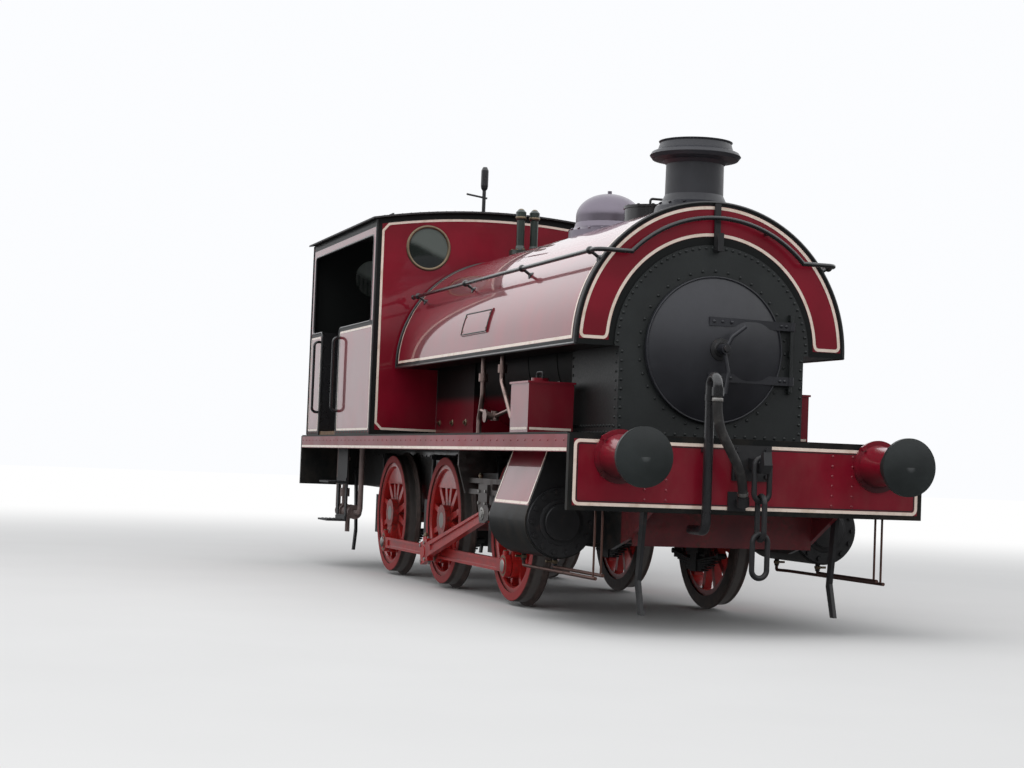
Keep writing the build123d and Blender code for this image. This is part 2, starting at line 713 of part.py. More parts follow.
def cab():
    half = cab_half_width
    z0 = footplate_top
    top = cab_eave + roof_rise + 10
    front = span((cab_front_x - cab_sheet, cab_front_x), (-half, half), (z0, top))
    front = under_roof(front)
    hole = arch(firebox_half_width + 4, boiler_z, z0 - 10, cab_front_x - 50, cab_front_x + 50)
    front -= hole
    glass = []
    for sign in (-1, 1):
        front -= rod_x(spectacle_radius, cab_front_x - 50, cab_front_x + 50, sign * spectacle_y, spectacle_z)
        glass.append(rod_x(spectacle_radius - seat_gap, cab_front_x - 9, cab_front_x - 3,
                           sign * spectacle_y, spectacle_z))
    save("cab_front", front)
    rear = span((cab_rear_x, cab_rear_x + cab_sheet), (-half, half), (z0, top))
    rear = under_roof(rear)
    for sign in (-1, 1):
        y, z = sign * rear_window_y, rear_window_z
        rear -= rod_x(spectacle_radius, cab_rear_x - 50, cab_rear_x + 50, y, z)
        glass.append(rod_x(spectacle_radius - seat_gap, cab_rear_x + 3, cab_rear_x + 9, y, z))
    save("cab_rear", rear)
    save("cab_windows", glass)
    x0, x1 = cab_rear_x + cab_sheet, cab_front_x - cab_sheet
    side = span((x0, x1), (half - cab_sheet, half), (z0, cab_eave - 6))
    side -= span((door_rear_x, door_front_x), (half - 50, half + 50), (z0 - 10, window_top))
    side -= span((x0 + post_width, x1 - post_width), (half - 50, half + 50), (waist_z, window_top))
    save("cab_side_left", side)
    save("cab_side_right", other_side(side))
    radius, centre = roof_arc()
    rx0, rx1 = cab_rear_x - roof_overhang, cab_front_x + roof_overhang
    roof = rod_x(radius + roof_thickness, rx0, rx1, 0, centre)
    roof -= rod_x(radius, rx0 - 10, rx1 + 10, 0, centre)
    eave = half + roof_overhang
    roof = roof & span((rx0, rx1), (-eave, eave), (cab_eave - 60, top + 40))
    hatch_half = 330.0
    hatch_rear = cab_front_x - 1585
    hatch_front = cab_front_x - 935
    crown = centre + radius
    hatch = span((hatch_rear, hatch_front), (-hatch_half, hatch_half), (crown - 10, crown + 40))
    roof += hatch - rod_x(radius + 5, rx0, rx1, 0, centre)
    for sign in (-1, 1):
        strip_y = sign * (half - 140)
        strip = span((rx0 + 60, rx1 - 60), (strip_y - 8, strip_y + 8), (cab_eave - 60, top + 40))
        strip = strip & rod_x(radius + roof_thickness + 16, rx0, rx1, 0, centre)
        roof += strip - rod_x(radius + 5, rx0 - 10, rx1 + 10, 0, centre)
    save("cab_roof", roof)
    floor_half = half - cab_sheet - 4
    floor = span((cab_rear_x + cab_sheet + 5, cab_front_x - cab_sheet - 5), (-floor_half, floor_half),
                 (z0, z0 + floor_thickness))
    floor -= span((firebox_rear - 12, cab_front_x + 100), (-firebox_half_width - 12, firebox_half_width + 12),
                  (z0 - 5, z0 + 100))
    save("cab_floor", floor)
    bunker = span((door_rear_x - 14, door_rear_x - 2), (-half + cab_sheet + 6, half - cab_sheet - 6),
                  (z0 + floor_thickness, waist_z))
    bunker -= span((door_rear_x - 50, door_rear_x + 50), (-260, 260), (z0 + floor_thickness + 120, z0 + 560))
    save("bunker_plate", bunker)


def boiler_and_firebox():
    barrel = rod_x(boiler_radius, firebox_front, smokebox_rear, 0, boiler_z)
    band_pitch = (smokebox_rear - firebox_front) / 4
    for i in range(1, 4):
        x = firebox_front + i * band_pitch
        barrel += rod_x(boiler_radius + 4, x - 25, x + 25, 0, boiler_z)
    save("boiler", barrel)
    box = arch(firebox_half_width, boiler_z, firebox_bottom, firebox_rear, firebox_front)
    save("firebox", box)
    pan = end_view([(-firebox_half_width + 20, firebox_bottom), (firebox_half_width - 20, firebox_bottom),
                    (firebox_half_width - 120, 330), (-firebox_half_width + 120, 330)],
                   firebox_rear + 30, firebox_front - 30)
    save("ashpan", pan)
    x = firebox_rear
    fire_door_z = boiler_z - 260
    regulator_z = boiler_z + 300
    fittings = [rod_x(210, x - 30, x, 0, fire_door_z) + rod_x(150, x - 46, x - 10, 0, fire_door_z)]
    regulator = rod_x(60, x - 90, x, 0, regulator_z)
    regulator += span((x - 82, x - 62), (-20, 250), (regulator_z - 15, regulator_z + 15))
    fittings.append(regulator)
    gauge_low, gauge_high = boiler_z - 30, boiler_z + 190
    for y in (-230, 230):
        gauge = rod_x(26, x - 60, x, y, gauge_high) + rod_x(26, x - 60, x, y, gauge_low)
        gauge += rod_z(12, x - 42, y, gauge_low, gauge_high)
        fittings.append(gauge)
    save("backhead_fittings", fittings)


def controls():
    """The reversing lever in its quadrant on the right, and the handbrake column on the left."""
    z0 = footplate_top + floor_thickness
    lever_x, lever_y = cab_front_x - 415, -(cab_half_width - 340)
    lever = span((lever_x - 170, lever_x + 170), (lever_y - 20, lever_y + 20), (z0, z0 + 60))
    lever += pipe([(lever_x, lever_y, z0 + 40), (lever_x + 40, lever_y, z0 + 900)], 16, 5)
    x, y, high = cab_front_x - 435, cab_half_width - 330, z0 + 900
    column = turned([(0, z0), (90, z0), (90, z0 + 14), (45, z0 + 30), (38, high), (0, high)], x, y)
    column += pipe([(x, y, high - 20), (x, y, high + 60), (x, y + 180, high + 60)], 14, 30)
    save("cab_controls", lever, column)


def sandboxes():
    """A sandbox on each side of the footplate, with an overhanging lid and a filling plug."""
    (x0, x1), (y0, y1) = sandbox_x, sandbox_y
    top = footplate_top + sandbox_height
    box = span(sandbox_x, sandbox_y, (footplate_top, top))
    box += span((x0 - 10, x1 + 10), (y0 - 10, y1 + 10), (top - 12, top + 2))
    box += rod_z(60, (x0 + x1) / 2, y0 + 180, top, top + 30)
    save("sandboxes", pair(box))


def handrails():
    """Rails along both sides of the tank, joined by one round its front, and four cab grab rails."""
    angle = radians(rail_angle)
    reach = tank_radius + rail_stand_off
    y, z = reach * cos(angle), tank_centre_z + reach * sin(angle)
    rise = z - tank_centre_z
    joint_y = sqrt(front_rail_radius ** 2 - rise ** 2)
    rail_rear = tank_rear + 120
    rail = pipe([(rail_rear, y, z), (front_rail_x, y, z), (front_rail_x, joint_y, z)], rail_radius, 60)
    rail += Pos(rail_rear, y, z) * Sphere(22)
    rail += Pos(front_rail_x, joint_y, z) * Sphere(rail_radius + 1)
    foot = tank_radius + seat_gap
    for x in (tank_front - 60, tank_front - 1450, tank_front - 2850, tank_rear + 270):
        rail += pipe([(x, foot * cos(angle), tank_centre_z + foot * sin(angle)), (x, y, z)], 11, 5)
        rail += Pos(x, y, z) * Sphere(27)
    round_front = make_face(Plane.XZ * Pos(front_rail_x, front_rail_radius) * Wire.make_circle(rail_radius))
    half_turn = degrees(atan2(joint_y, rise))
    bow = Rot(-half_turn, 0, 0) * revolve(round_front, Axis.X, revolution_arc=2 * half_turn)
    tank_rail = rail + other_side(rail) + Pos(0, 0, tank_centre_z) * bow
    stay_y = 350.0
    stay_z = tank_centre_z + sqrt(front_rail_radius ** 2 - stay_y ** 2)
    for sign in (-1, 1):
        tank_rail += rod_x(11, tank_front + seat_gap, front_rail_x, sign * stay_y, stay_z)
    rails = [tank_rail]
    grab_y = cab_half_width + 60
    for x in (door_front_x + 45, door_rear_x - 45):
        post = pipe([(x, cab_half_width + seat_gap, waist_z - 760), (x, grab_y, waist_z - 760),
                     (x, grab_y, waist_z - 90), (x, cab_half_width + seat_gap, waist_z - 90)], 13, 40)
        rails += pair(post)
    save("handrails", rails)


def steps():
    inner = step_inner_y
    outer = inner + step_depth
    half = step_length / 2
    low, high = step_heights
    ladder = span((step_x - half, step_x + half), (inner, inner + 12), (low - 5, footplate_under))
    ladder -= span((step_x - half + 60, step_x + half - 60), (inner - 50, inner + 50), (low + 50, high - 20))
    for z in step_heights:
        ladder += span((step_x - half, step_x + half), (inner, outer), (z - 8, z + 8))
        ladder += span((step_x - half, step_x + half), (inner, inner + 20), (z - 8, z + 40))
    save("cab_steps", pair(ladder))


def guard_irons():
    irons = []
    for end in (1, -1):
        face = end * (front_face - beam_thickness)
        iron = side_view([(face - end * 20, 900), (face - end * 90, 900), (face - end * 160, 300),
                          (face - end * 90, 110), (face - end * 40, 110), (face - end * 110, 320)],
                         frame_outer_y + seat_gap, frame_outer_y + 24)
        irons += pair(iron)
    save("guard_irons", irons)


def link(x, y, top, turned_flat):
    """One oval link of round bar, its upper end at this height."""
    bar, half = link_bar, link_width / 2 - link_bar
    low, high = top - link_length + half + bar, top - half - bar
    path = Line((half, low), (half, high)) + ThreePointArc((half, high), (0, high + half), (-half, high))
    path += Line((-half, high), (-half, low)) + ThreePointArc((-half, low), (0, low - half), (half, low))
    line = Plane.XZ * path
    ring = sweep(Plane(origin=line @ 0, z_dir=line % 0) * Circle(bar), path=line)
    return Pos(x, y, 0) * (Rot(0, 0, 90) * ring if turned_flat else ring)


def drawgear():
    hooks, chains = [], []
    z = buffer_height - 10
    throat = 167.0
    hook_half = 27.0
    for end, face in ((1, front_face), (-1, rear_face)):
        plate = span((face, face + end * 20), (-130, 130), (z - 110, z + 110))
        hook = side_view([(face + end * 15, z - 32), (face + end * 15, z + 32), (face + end * 120, z + 30),
                          (face + end * 150, z + 4), (face + end * 185, z + 2), (face + end * 205, z + 66),
                          (face + end * 235, z + 70), (face + end * 250, z - 10), (face + end * 215, z - 62),
                          (face + end * 140, z - 60)], -hook_half, hook_half)
        hooks.append(plate + hook)
        inner = link_width / 2 - 2 * link_bar
        crown = inner - sqrt(inner ** 2 - hook_half ** 2)
        top = z + 4 + seat_gap + crown + 2 * link_bar
        step = link_length - 4 * link_bar + 1
        chain = link(face + end * throat, 0, top, True)
        chain += link(face + end * throat, 0, top - step, False)
        chain += link(face + end * throat, 0, top - 2 * step, True)
        chains.append(chain)
    save("drawhooks", hooks)
    save("coupling_chains", chains)


def brake_gear():
    hangers = []
    y0, y1 = wheel_in + 10, wheel_out - 15
    shoe_radius = tread_radius + flange_depth + 9
    for axle in axle_x.values():
        shoe_x = axle - shoe_radius
        x = shoe_x - 1
        block = span((shoe_x - 70, shoe_x + 60), (y0, y1), (axle_z - 190, axle_z + 150))
        block -= rod_y(shoe_radius, axle, 0, 2000, axle_z)
        hanger = [(x - 70, axle_z + 20), (x - 40, axle_z + 20), (x - 10, 1060), (x - 60, 1060)]
        block += side_view(hanger, y0 + 40, y0 + 65)
        block += rod_y(24, x - 40, frame_outer_y + seat_gap, y0 + 65, 1035)
        hangers += pair(block)
    save("brake_gear", hangers)


def standpipes():
    """Brake pipes up the beams, with a swan neck that turns away from the beam."""
    lift = 68.0
    low = 640.0
    bend = 56.0
    y = brake_pipe_y
    pipes = []
    for end, face in ((1, front_face), (-1, rear_face)):
        x = face + end * lift
        out = x + end * 2 * bend
        rise = pipe([(face - end * 160, y, low), (x, y, low), (x, y, brake_pipe_top + bend),
                     (out, y, brake_pipe_top + bend), (out, y, brake_pipe_top - 40)],
                    brake_pipe_radius, bend - 1)
        rise += rod_z(brake_pipe_radius + 8, out, y, brake_pipe_top - 62, brake_pipe_top - 10)
        rise += rod_z(brake_pipe_radius + 4, x, y, brake_pipe_top - 90, brake_pipe_top - 50)
        rise += span((min(face, x), max(face, x)), (y - 20, y + 20), (1120, 1150))
        pipes.append(rise)
    save("standpipes", pipes)


def gentle_radii(points):
    """The largest bend at each corner that its two runs leave room for."""
    spots = [Vector(*point) for point in points]
    runs = [after - before for before, after in zip(spots, spots[1:])]
    radii = []
    for first, second in zip(runs, runs[1:]):
        half_turn = radians(first.get_angle(second) / 2)
        radii.append(0.45 * min(first.length, second.length) / tan(half_turn))
    return radii


def brake_hose():
    """The flexible pipe from the front neck down to its rest on the beam."""
    start = Vector(front_face + 180, brake_pipe_y, brake_pipe_top - 62 - seat_gap)
    route = [(0, 0, 0), (0, 0, -105), (-5, 34, -218), (-12, 102, -325), (-24, 166, -430), (-45, 206, -525),
             (-70, 222, -610)]
    points = [start + Vector(*step) for step in route]
    radii = gentle_radii(points)
    path = FilletPolyline(*points, radius=radii)
    section = Plane(origin=path @ 0, z_dir=path % 0) * Circle(brake_pipe_radius)
    hose = sweep(section, path=path)
    print("hose length", round(path.length), "radii", [round(r) for r in radii])
    save("vacuum_hose", hose)
    end = path @ 1
    ahead = path % 1
    middle = end + ahead * (seat_gap + 27)
    fitting = Plane(origin=middle, z_dir=ahead) * Cylinder(brake_pipe_radius + 8, 54)
    rest = span((front_face + seat_gap, middle.X - 20), (middle.Y - 16, middle.Y + 16),
                (middle.Z - 30, middle.Z + 10))
    rest += span((front_face + seat_gap, front_face + 12), (middle.Y - 60, middle.Y + 60),
                 (middle.Z - 60, middle.Z + 60))
    save("hose_ends", fitting + rest)


def lamp_irons():
    """An upright bar on the tank's front, and the lamp iron at its foot."""
    x = tank_front + 12 + seat_gap
    foot, top = boiler_z + smokebox_ring_radius - 45, tank_crown - 8
    bar = span((x, x + 12), (-21, 21), (foot, top))
    bar += span((tank_front + seat_gap, x + 4), (-21, 21), (top - 77, top - 37))
    bar += span((x, x + 70), (-21, 21), (foot, foot + 10))
    bar += span((x + 58, x + 70), (-21, 21), (foot, foot + 120))
    save("lamp_irons", bar)


def pipework():
    """Feed and blow-down pipes between the tank's edge and the footplate, on the right."""
    y = -(tank_radius - 97)
    under = tank_bottom - seat_gap
    over = footplate_top + seat_gap
    base = footplate_top
    rear_x, front_x, cock_x = 905.0, 1862.0, 1300.0
    rear_top, front_top = rear_x + 65, front_x - 422
    rear_pipe = [(rear_top, y, under), (rear_top, y, base + 290), (rear_x, y, base + 120), (rear_x, y, over)]
    front_pipe = [(front_top, y, under), (front_top, y, base + 390), (front_x - 162, y, base + 120),
                  (front_x, y, base + 90), (front_x, y, over)]
    cross_pipe = [(rear_x + 25, y, base + 190), (cock_x, y, base + 135), (front_x - 222, y, base + 180)]
    pipes = pipe(rear_pipe, 19, 60) + pipe(front_pipe, 19, 50) + pipe(cross_pipe, 14, 60)
    for x, z in ((rear_top, base + 430), (front_top, base + 480)):
        pipes += rod_z(34, x, y, z - 30, z + 30)
    for x in (rear_x, front_x):
        pipes += rod_z(32, x, y, over, over + 14)
    valve_z = base + 137
    valve = rod_y(26, cock_x, y - 70, y + 20, valve_z) + rod_z(30, cock_x, y, valve_z - 32, valve_z + 38)
    valve += rod_y(48, cock_x, y - 82, y - 68, valve_z)
    save("pipework", pipes + valve)


def injector():
    """The right-hand injector with its steam, feed and overflow pipes."""
    y = -(step_inner_y - 100)
    z = 505.0
    x0, x1 = step_x - 450, step_x + 90
    steam_x = x0 + 110
    under = footplate_under - seat_gap
    body = rod_x(46, x0, x1, y, z)
    for x in (x0, x0 + 160, x1 - 180, x1 - 20):
        body += rod_x(66, x, x + 22, y, z)
    body += rod_x(27, x0 - 80, x0 + 10, y, z)
    body += pipe([(x0 - 70, y, z), (x0 - 160, y, z), (x0 - 160, y, under)], 24, 60)
    body += pipe([(x1 - 10, y, z), (x1 + 200, y, z), (x1 + 200, y, under)], 24, 60)
    body += rod_z(27, steam_x, y, z, under)
    body += rod_z(44, steam_x, y, z + 135, z + 215)
    body += rod_z(38, steam_x, y, z + 475, z + 505)
    body += rod_z(22, x0 + 260, y, z - 190, z)
    save("injectors", body)


def drain_pipes():
    """Pipes from the cylinder drain cocks forward to the beam, on both sides."""
    low = cylinder_z - cylinder_radius - 45
    end_x = front_face - 60
    pipes = []
    front_cock = (cylinder_front - 70, rod_plane_y - 14, low - 12)
    rear_cock = (cylinder_rear + 70, rod_plane_y + 34, low - 30)
    for x, y, z in (front_cock, rear_cock):
        route = [(x, rod_plane_y, low - seat_gap), (x, rod_plane_y, z), (x + 120, y, z), (end_x, y, z)]
        drain = pipe(route, 11, 9)
        drain += span((end_x - 46, end_x - 34), (y - 5, y + 5), (z, beam_bottom + 60))
        drain += span((end_x - 46, front_face - beam_thickness - seat_gap), (y - 5, y + 5),
                      (beam_bottom + 30, beam_bottom + 60))
        pipes += pair(drain)
    save("drain_pipes", pipes)


def tank_plate():
    """A blank plate on the tank's right side, rolled to its curve."""
    ring = rod_x(tank_radius + 9, *plate_x, 0, tank_centre_z)
    ring -= rod_x(tank_radius + seat_gap, *plate_x, 0, tank_centre_z)
    save("tank_plate", ring & span(plate_x, (-tank_radius - 100, 0), plate_z))


for place in ("front", "middle", "rear"):
    wheel_pair(place)
for hand in ("right", "left"):
    coupling_rod(hand)
    connecting_rod(hand)
    crosshead(hand)
cylinders()
slide_bars()
frames()
axleboxes()
springs()
beams_and_footplate()
buffers()
boiler_and_firebox()
smokebox()
smokebox_door()
saddle_tank()
chimney()
dome()
filler()
safety_valves()
cab()
whistle()
controls()
sandboxes()
handrails()
steps()
guard_irons()
drawgear()
brake_gear()
standpipes()
brake_hose()
lamp_irons()
pipework()
injector()
drain_pipes()
tank_plate()
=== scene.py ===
# %% [markdown]
# # Dressing a saddle tank locomotive
# The metalwork of a locomotive comes from its CAD model: frames, wheels, boiler, tank and cab. This lesson
# gives each of those bodies its paint, then adds what is too fine for the model, such as lining, rivets,
# nuts and gauges. Every position below is in metres, with x forwards, y to the left and z up from the rail.

# %% Load the model
import json
from math import asin, cos, pi, radians, sin, sqrt, tan

import bmesh
import bpy
from mathutils import Matrix, Vector

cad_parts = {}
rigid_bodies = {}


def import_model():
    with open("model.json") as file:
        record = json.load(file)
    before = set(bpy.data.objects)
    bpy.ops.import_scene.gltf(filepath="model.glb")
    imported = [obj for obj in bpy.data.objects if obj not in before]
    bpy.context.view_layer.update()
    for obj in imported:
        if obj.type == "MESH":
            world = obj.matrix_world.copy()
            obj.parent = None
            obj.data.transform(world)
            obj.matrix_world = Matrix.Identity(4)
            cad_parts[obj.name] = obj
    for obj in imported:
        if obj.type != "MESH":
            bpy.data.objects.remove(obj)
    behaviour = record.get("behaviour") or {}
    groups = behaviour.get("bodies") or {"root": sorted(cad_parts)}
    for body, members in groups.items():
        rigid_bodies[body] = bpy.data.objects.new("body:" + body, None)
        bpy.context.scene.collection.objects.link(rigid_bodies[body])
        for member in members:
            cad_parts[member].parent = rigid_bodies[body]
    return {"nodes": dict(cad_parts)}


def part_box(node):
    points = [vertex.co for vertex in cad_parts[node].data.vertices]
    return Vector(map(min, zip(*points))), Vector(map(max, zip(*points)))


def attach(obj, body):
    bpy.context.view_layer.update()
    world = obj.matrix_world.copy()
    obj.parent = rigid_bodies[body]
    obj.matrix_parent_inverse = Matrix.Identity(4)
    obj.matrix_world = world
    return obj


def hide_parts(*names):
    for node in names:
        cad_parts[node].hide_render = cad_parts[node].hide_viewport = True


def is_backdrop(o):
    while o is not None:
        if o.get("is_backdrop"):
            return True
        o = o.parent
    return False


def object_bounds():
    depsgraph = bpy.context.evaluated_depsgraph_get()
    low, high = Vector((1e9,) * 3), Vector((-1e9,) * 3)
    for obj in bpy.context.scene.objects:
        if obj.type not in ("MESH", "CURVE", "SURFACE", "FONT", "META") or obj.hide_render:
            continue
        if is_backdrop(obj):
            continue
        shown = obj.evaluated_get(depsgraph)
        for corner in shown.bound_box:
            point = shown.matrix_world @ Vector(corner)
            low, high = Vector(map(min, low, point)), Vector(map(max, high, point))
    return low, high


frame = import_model()
cad_low, cad_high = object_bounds()
nodes = frame["nodes"]
print("CAD nodes:", len(nodes), "box:", cad_low, cad_high)

# %% [markdown]
# ## The camera
# A camera is easiest to trust when it is written down as one place and three angles. The lens comes from
# the picture's own perspective: a focal length in pixels, times the sensor width, over the picture's width.

# %% Place the camera
PICTURE_WIDTH = 1024
FOCAL_PIXELS = 1956.6
SENSOR_WIDTH = 36.0
CAMERA_PLACE = Vector((14.944, -5.131, 0.996))
CAMERA_YAW, CAMERA_PITCH, CAMERA_ROLL = radians(17.88), radians(2.37), radians(2.189)


def add_object(name, data):
    """A new object in the scene, around its data."""
    made = bpy.data.objects.new(name, data)
    bpy.context.scene.collection.objects.link(made)
    return made


def camera_axes(yaw, pitch, roll):
    """The camera's right, up and forward directions in the locomotive's frame."""
    forward = Vector((-cos(yaw) * cos(pitch), sin(yaw) * cos(pitch), sin(pitch)))
    level_right = Vector((sin(yaw), cos(yaw), 0))
    level_up = level_right.cross(forward)
    right = level_right * cos(roll) + level_up * sin(roll)
    up = level_up * cos(roll) - level_right * sin(roll)
    return right, up, forward


lens = bpy.data.cameras.new("camera")
lens.sensor_width = SENSOR_WIDTH
lens.lens = SENSOR_WIDTH * FOCAL_PIXELS / PICTURE_WIDTH
lens.clip_end = 200
camera = add_object("camera", lens)
right, up, forward = camera_axes(CAMERA_YAW, CAMERA_PITCH, CAMERA_ROLL)
turn = Matrix((right, up, -forward)).transposed().to_4x4()
camera.matrix_world = Matrix.Translation(CAMERA_PLACE) @ turn
bpy.context.scene.camera = camera
print("lens in mm:", round(lens.lens, 2))

# %% [markdown]
# ## The vacuum hose
# The brake hose hangs from the pipe on the front beam and comes to rest on a bracket. It is one length of
# rubber, so it is drawn as one smooth NURBS curve through its route. The radius of each point sets the
# thickness of its round bevel, which keeps the curve's own box close to the rubber.

# %% Route of the hose
HOSE_START = Vector((4.080, -0.318, 1.4597))
HOSE_ROUTE = [(0, 0, 0), (0, 0, -0.105), (-0.005, 0.034, -0.218), (-0.012, 0.102, -0.325),
              (-0.024, 0.166, -0.430), (-0.045, 0.206, -0.525), (-0.070, 0.222, -0.610)]
HOSE_LENGTH, HOSE_DIAMETER = 0.667, 0.060

hose_curve = bpy.data.curves.new("brake_hose", "CURVE")
hose_curve.dimensions = "3D"
hose_curve.bevel_depth = 1.0
hose_curve.bevel_resolution = 6
hose_curve.resolution_u = 16
hose_curve.use_fill_caps = True
hose_line = hose_curve.splines.new("NURBS")
hose_line.points.add(len(HOSE_ROUTE) - 1)
for spot, step in zip(hose_line.points, HOSE_ROUTE):
    spot.radius = HOSE_DIAMETER / 2
    spot.co = (*(HOSE_START + Vector(step)), 1)
hose_line.order_u = 3
hose_line.use_endpoint_u = True
brake_hose = add_object("brake_hose", hose_curve)
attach(brake_hose, "locomotive")
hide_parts("vacuum_hose")
print("hose points:", len(HOSE_ROUTE))

# %% [markdown]
# ## Shader sums as plain expressions
# A finish is a small sum: colour, plus dirt, minus wear. Blender writes such sums as nodes, which soon
# becomes a long list of links. `add_node` makes a node with its settings and links in one call, and `Value`
# wraps one socket, so that `1 - mask * 0.4` adds its own Math nodes. Each paint then takes a few lines.


# %% A node in one call, and a socket that does arithmetic
def add_node(tree, kind, inputs=None, settings=None):
    """Add one node, with its settings made first and then its inputs, each a value or a socket."""
    made = tree.nodes.new(kind)
    for key, value in (settings or {}).items():
        setattr(made, key, value)
    for key, value in (inputs or {}).items():
        if isinstance(value, bpy.types.NodeSocket):
            tree.links.new(value, made.inputs[key])
        else:
            made.inputs[key].default_value = value
    return made


def with_maths(operation, swapped=False):
    """A method that adds one Math node, its two terms the other way round when swapped."""
    def method(value, other):
        terms = (other, value) if swapped else (value, other)
        return value.finish.maths(operation, *terms)
    return method


class Value:
    """One number or colour in a finish, with the arithmetic that its Math nodes can do."""
    __add__, __radd__ = with_maths("ADD"), with_maths("ADD", True)
    __sub__, __rsub__ = with_maths("SUBTRACT"), with_maths("SUBTRACT", True)
    __mul__, __rmul__ = with_maths("MULTIPLY"), with_maths("MULTIPLY", True)
    __gt__, __lt__ = with_maths("GREATER_THAN"), with_maths("LESS_THAN")

    def __init__(self, finish, socket):
        self.finish = finish
        self.socket = socket


print("ready:", add_node.__name__, Value.__name__)


# %% A finish and its patterns
class Finish:
    """One material, or the sky: its nodes, its patterns and its shader."""

    def __init__(self, name, owner=None):
        self.material = owner or bpy.data.materials.new(name)
        self.material.use_nodes = True
        self.tree = self.material.node_tree
        self.tree.nodes.clear()
        self.place = self.value("ShaderNodeTexCoord", output="Generated" if owner else "Object")

    def node(self, kind, inputs=None, settings=None):
        """Add one node. Its inputs are numbers, colours, sockets or other values."""
        plain = {key: getattr(value, "socket", value) for key, value in (inputs or {}).items()}
        return add_node(self.tree, kind, plain, settings)

    def value(self, kind, inputs=None, settings=None, output=0):
        """Add one node and take one of its outputs."""
        return Value(self, self.node(kind, inputs, settings).outputs[output])

    def maths(self, operation, *terms):
        return self.value("ShaderNodeMath", dict(enumerate(terms)), {"operation": operation})

    def clamp(self, value):
        return self.value("ShaderNodeClamp", {"Value": value})

    def noise(self, scale, detail=4, roughness=0.6, stretch=(1, 1, 1)):
        """A cloudy pattern from 0 to 1, stretched along the object's axes."""
        where = self.value("ShaderNodeMapping", {"Vector": self.place, "Scale": stretch})
        return self.value("ShaderNodeTexNoise", {
            "Vector": where, "Scale": scale, "Detail": detail, "Roughness": roughness})

    def band(self, value, low, high):
        """0 below low, 1 above high, smooth between."""
        limits = {"Value": value, "From Min": low, "From Max": high}
        return self.value("ShaderNodeMapRange", limits, {"interpolation_type": "SMOOTHSTEP"})

    def axes(self):
        """The object's x, y and z as three values."""
        split = self.node("ShaderNodeSeparateXYZ", {"Vector": self.place})
        return [Value(self, socket) for socket in split.outputs]

    def length(self, first, second):
        return self.maths("SQRT", first * first + second * second)

    def size(self, value):
        return self.maths("ABSOLUTE", value)

    def mix(self, mask, first, second):
        """A colour between two, by a mask."""
        return self.value("ShaderNodeMix", {0: mask, 6: first, 7: second}, {"data_type": "RGBA"}, 2)

    def bump(self, height, distance, strength=1.0):
        return self.value("ShaderNodeBump", {
            "Height": height, "Distance": distance, "Strength": strength})

    def surface(self, **sockets):
        """Close the finish with one shader. Underscores in the names stand for spaces."""
        inputs = {name.replace("_", " "): value for name, value in sockets.items()}
        shader = self.node("ShaderNodeBsdfPrincipled", inputs)
        self.node("ShaderNodeOutputMaterial", {"Surface": shader.outputs[0]})
        return self.material


def solid(red, green, blue):
    return (red, green, blue, 1.0)


print("shader helpers ready")

# %% [markdown]
# ## The main sizes
# Paint edges, lining and fittings all follow a few lines of the locomotive, so those are named once. The
# last ones say how far in from its edge each cream line runs. The black paint outside it ends at the line.

# %% Sizes in metres
TANK_CENTRE, TANK_RADIUS, TANK_BOTTOM = 1.808, 0.947, 1.784
TANK_FRONT, TANK_REAR, TANK_CROWN = 3.250, -1.270, 2.755
BOILER_CENTRE = 1.790
LINING_INNER, LINING_OUTER = 0.735, 0.912
BEAM_FACE, BEAM_HALF, BEAM_LOW, BEAM_HIGH = 3.900, 1.194, 0.740, 1.201
CAB_FRONT, CAB_REAR, CAB_HALF = -1.315, -3.860, 1.150
CAB_EAVE, ROOF_RISE, FOOTPLATE, WAIST, OPENING_TOP = 3.066, 0.110, 1.210, 2.190, 2.935
DOOR_FRONT, DOOR_REAR = -2.620, -3.350
ROOF_RADIUS = (CAB_HALF ** 2 + ROOF_RISE ** 2) / (2 * ROOF_RISE)
ROOF_CENTRE = CAB_EAVE + ROOF_RISE - ROOF_RADIUS
AXLE_Z, CRANK_THROW = 0.536, 0.254
AXLES = {"front": 1.700, "middle": -0.100, "rear": -1.750}
CYLINDER_Z, ROD_Y, ROD_LENGTH = 0.640, 0.940, 1.650
BUFFER_Y, BUFFER_Z = 0.870, 1.072
JACKET_REAR, JACKET_FRONT = 2.290, 3.060
SHEET, LINE_WIDTH = 0.006, 0.020
HALF_LINE = LINE_WIDTH / 2
BEAM_LINE, POST_LINE, SILL_LINE, DOOR_LINE, ROOF_LINE = 0.040, 0.054, 0.048, 0.046, 0.062
print("roof radius:", round(ROOF_RADIUS, 3))

# %% [markdown]
# ## Crimson coach paint
# The body is deep crimson under many coats of varnish. What makes it read as varnish is a sharp reflection
# of the sky, so the finish has a clear coat. Broad, faint noise keeps large panels from looking printed.
# Outside each cream line the paint is black, and the edge is found from the panel's own coordinates. On the
# boiler, the black under the tank is painted shade.

# %% Paint with a black edge
CRIMSON = solid(0.215, 0.003, 0.016)
CRIMSON_DEEP = solid(0.160, 0.002, 0.011)
CREAM = solid(0.80, 0.67, 0.58)
BLACK_PAINT = solid(0.009, 0.010, 0.010)
DUST = solid(0.17, 0.125, 0.095)


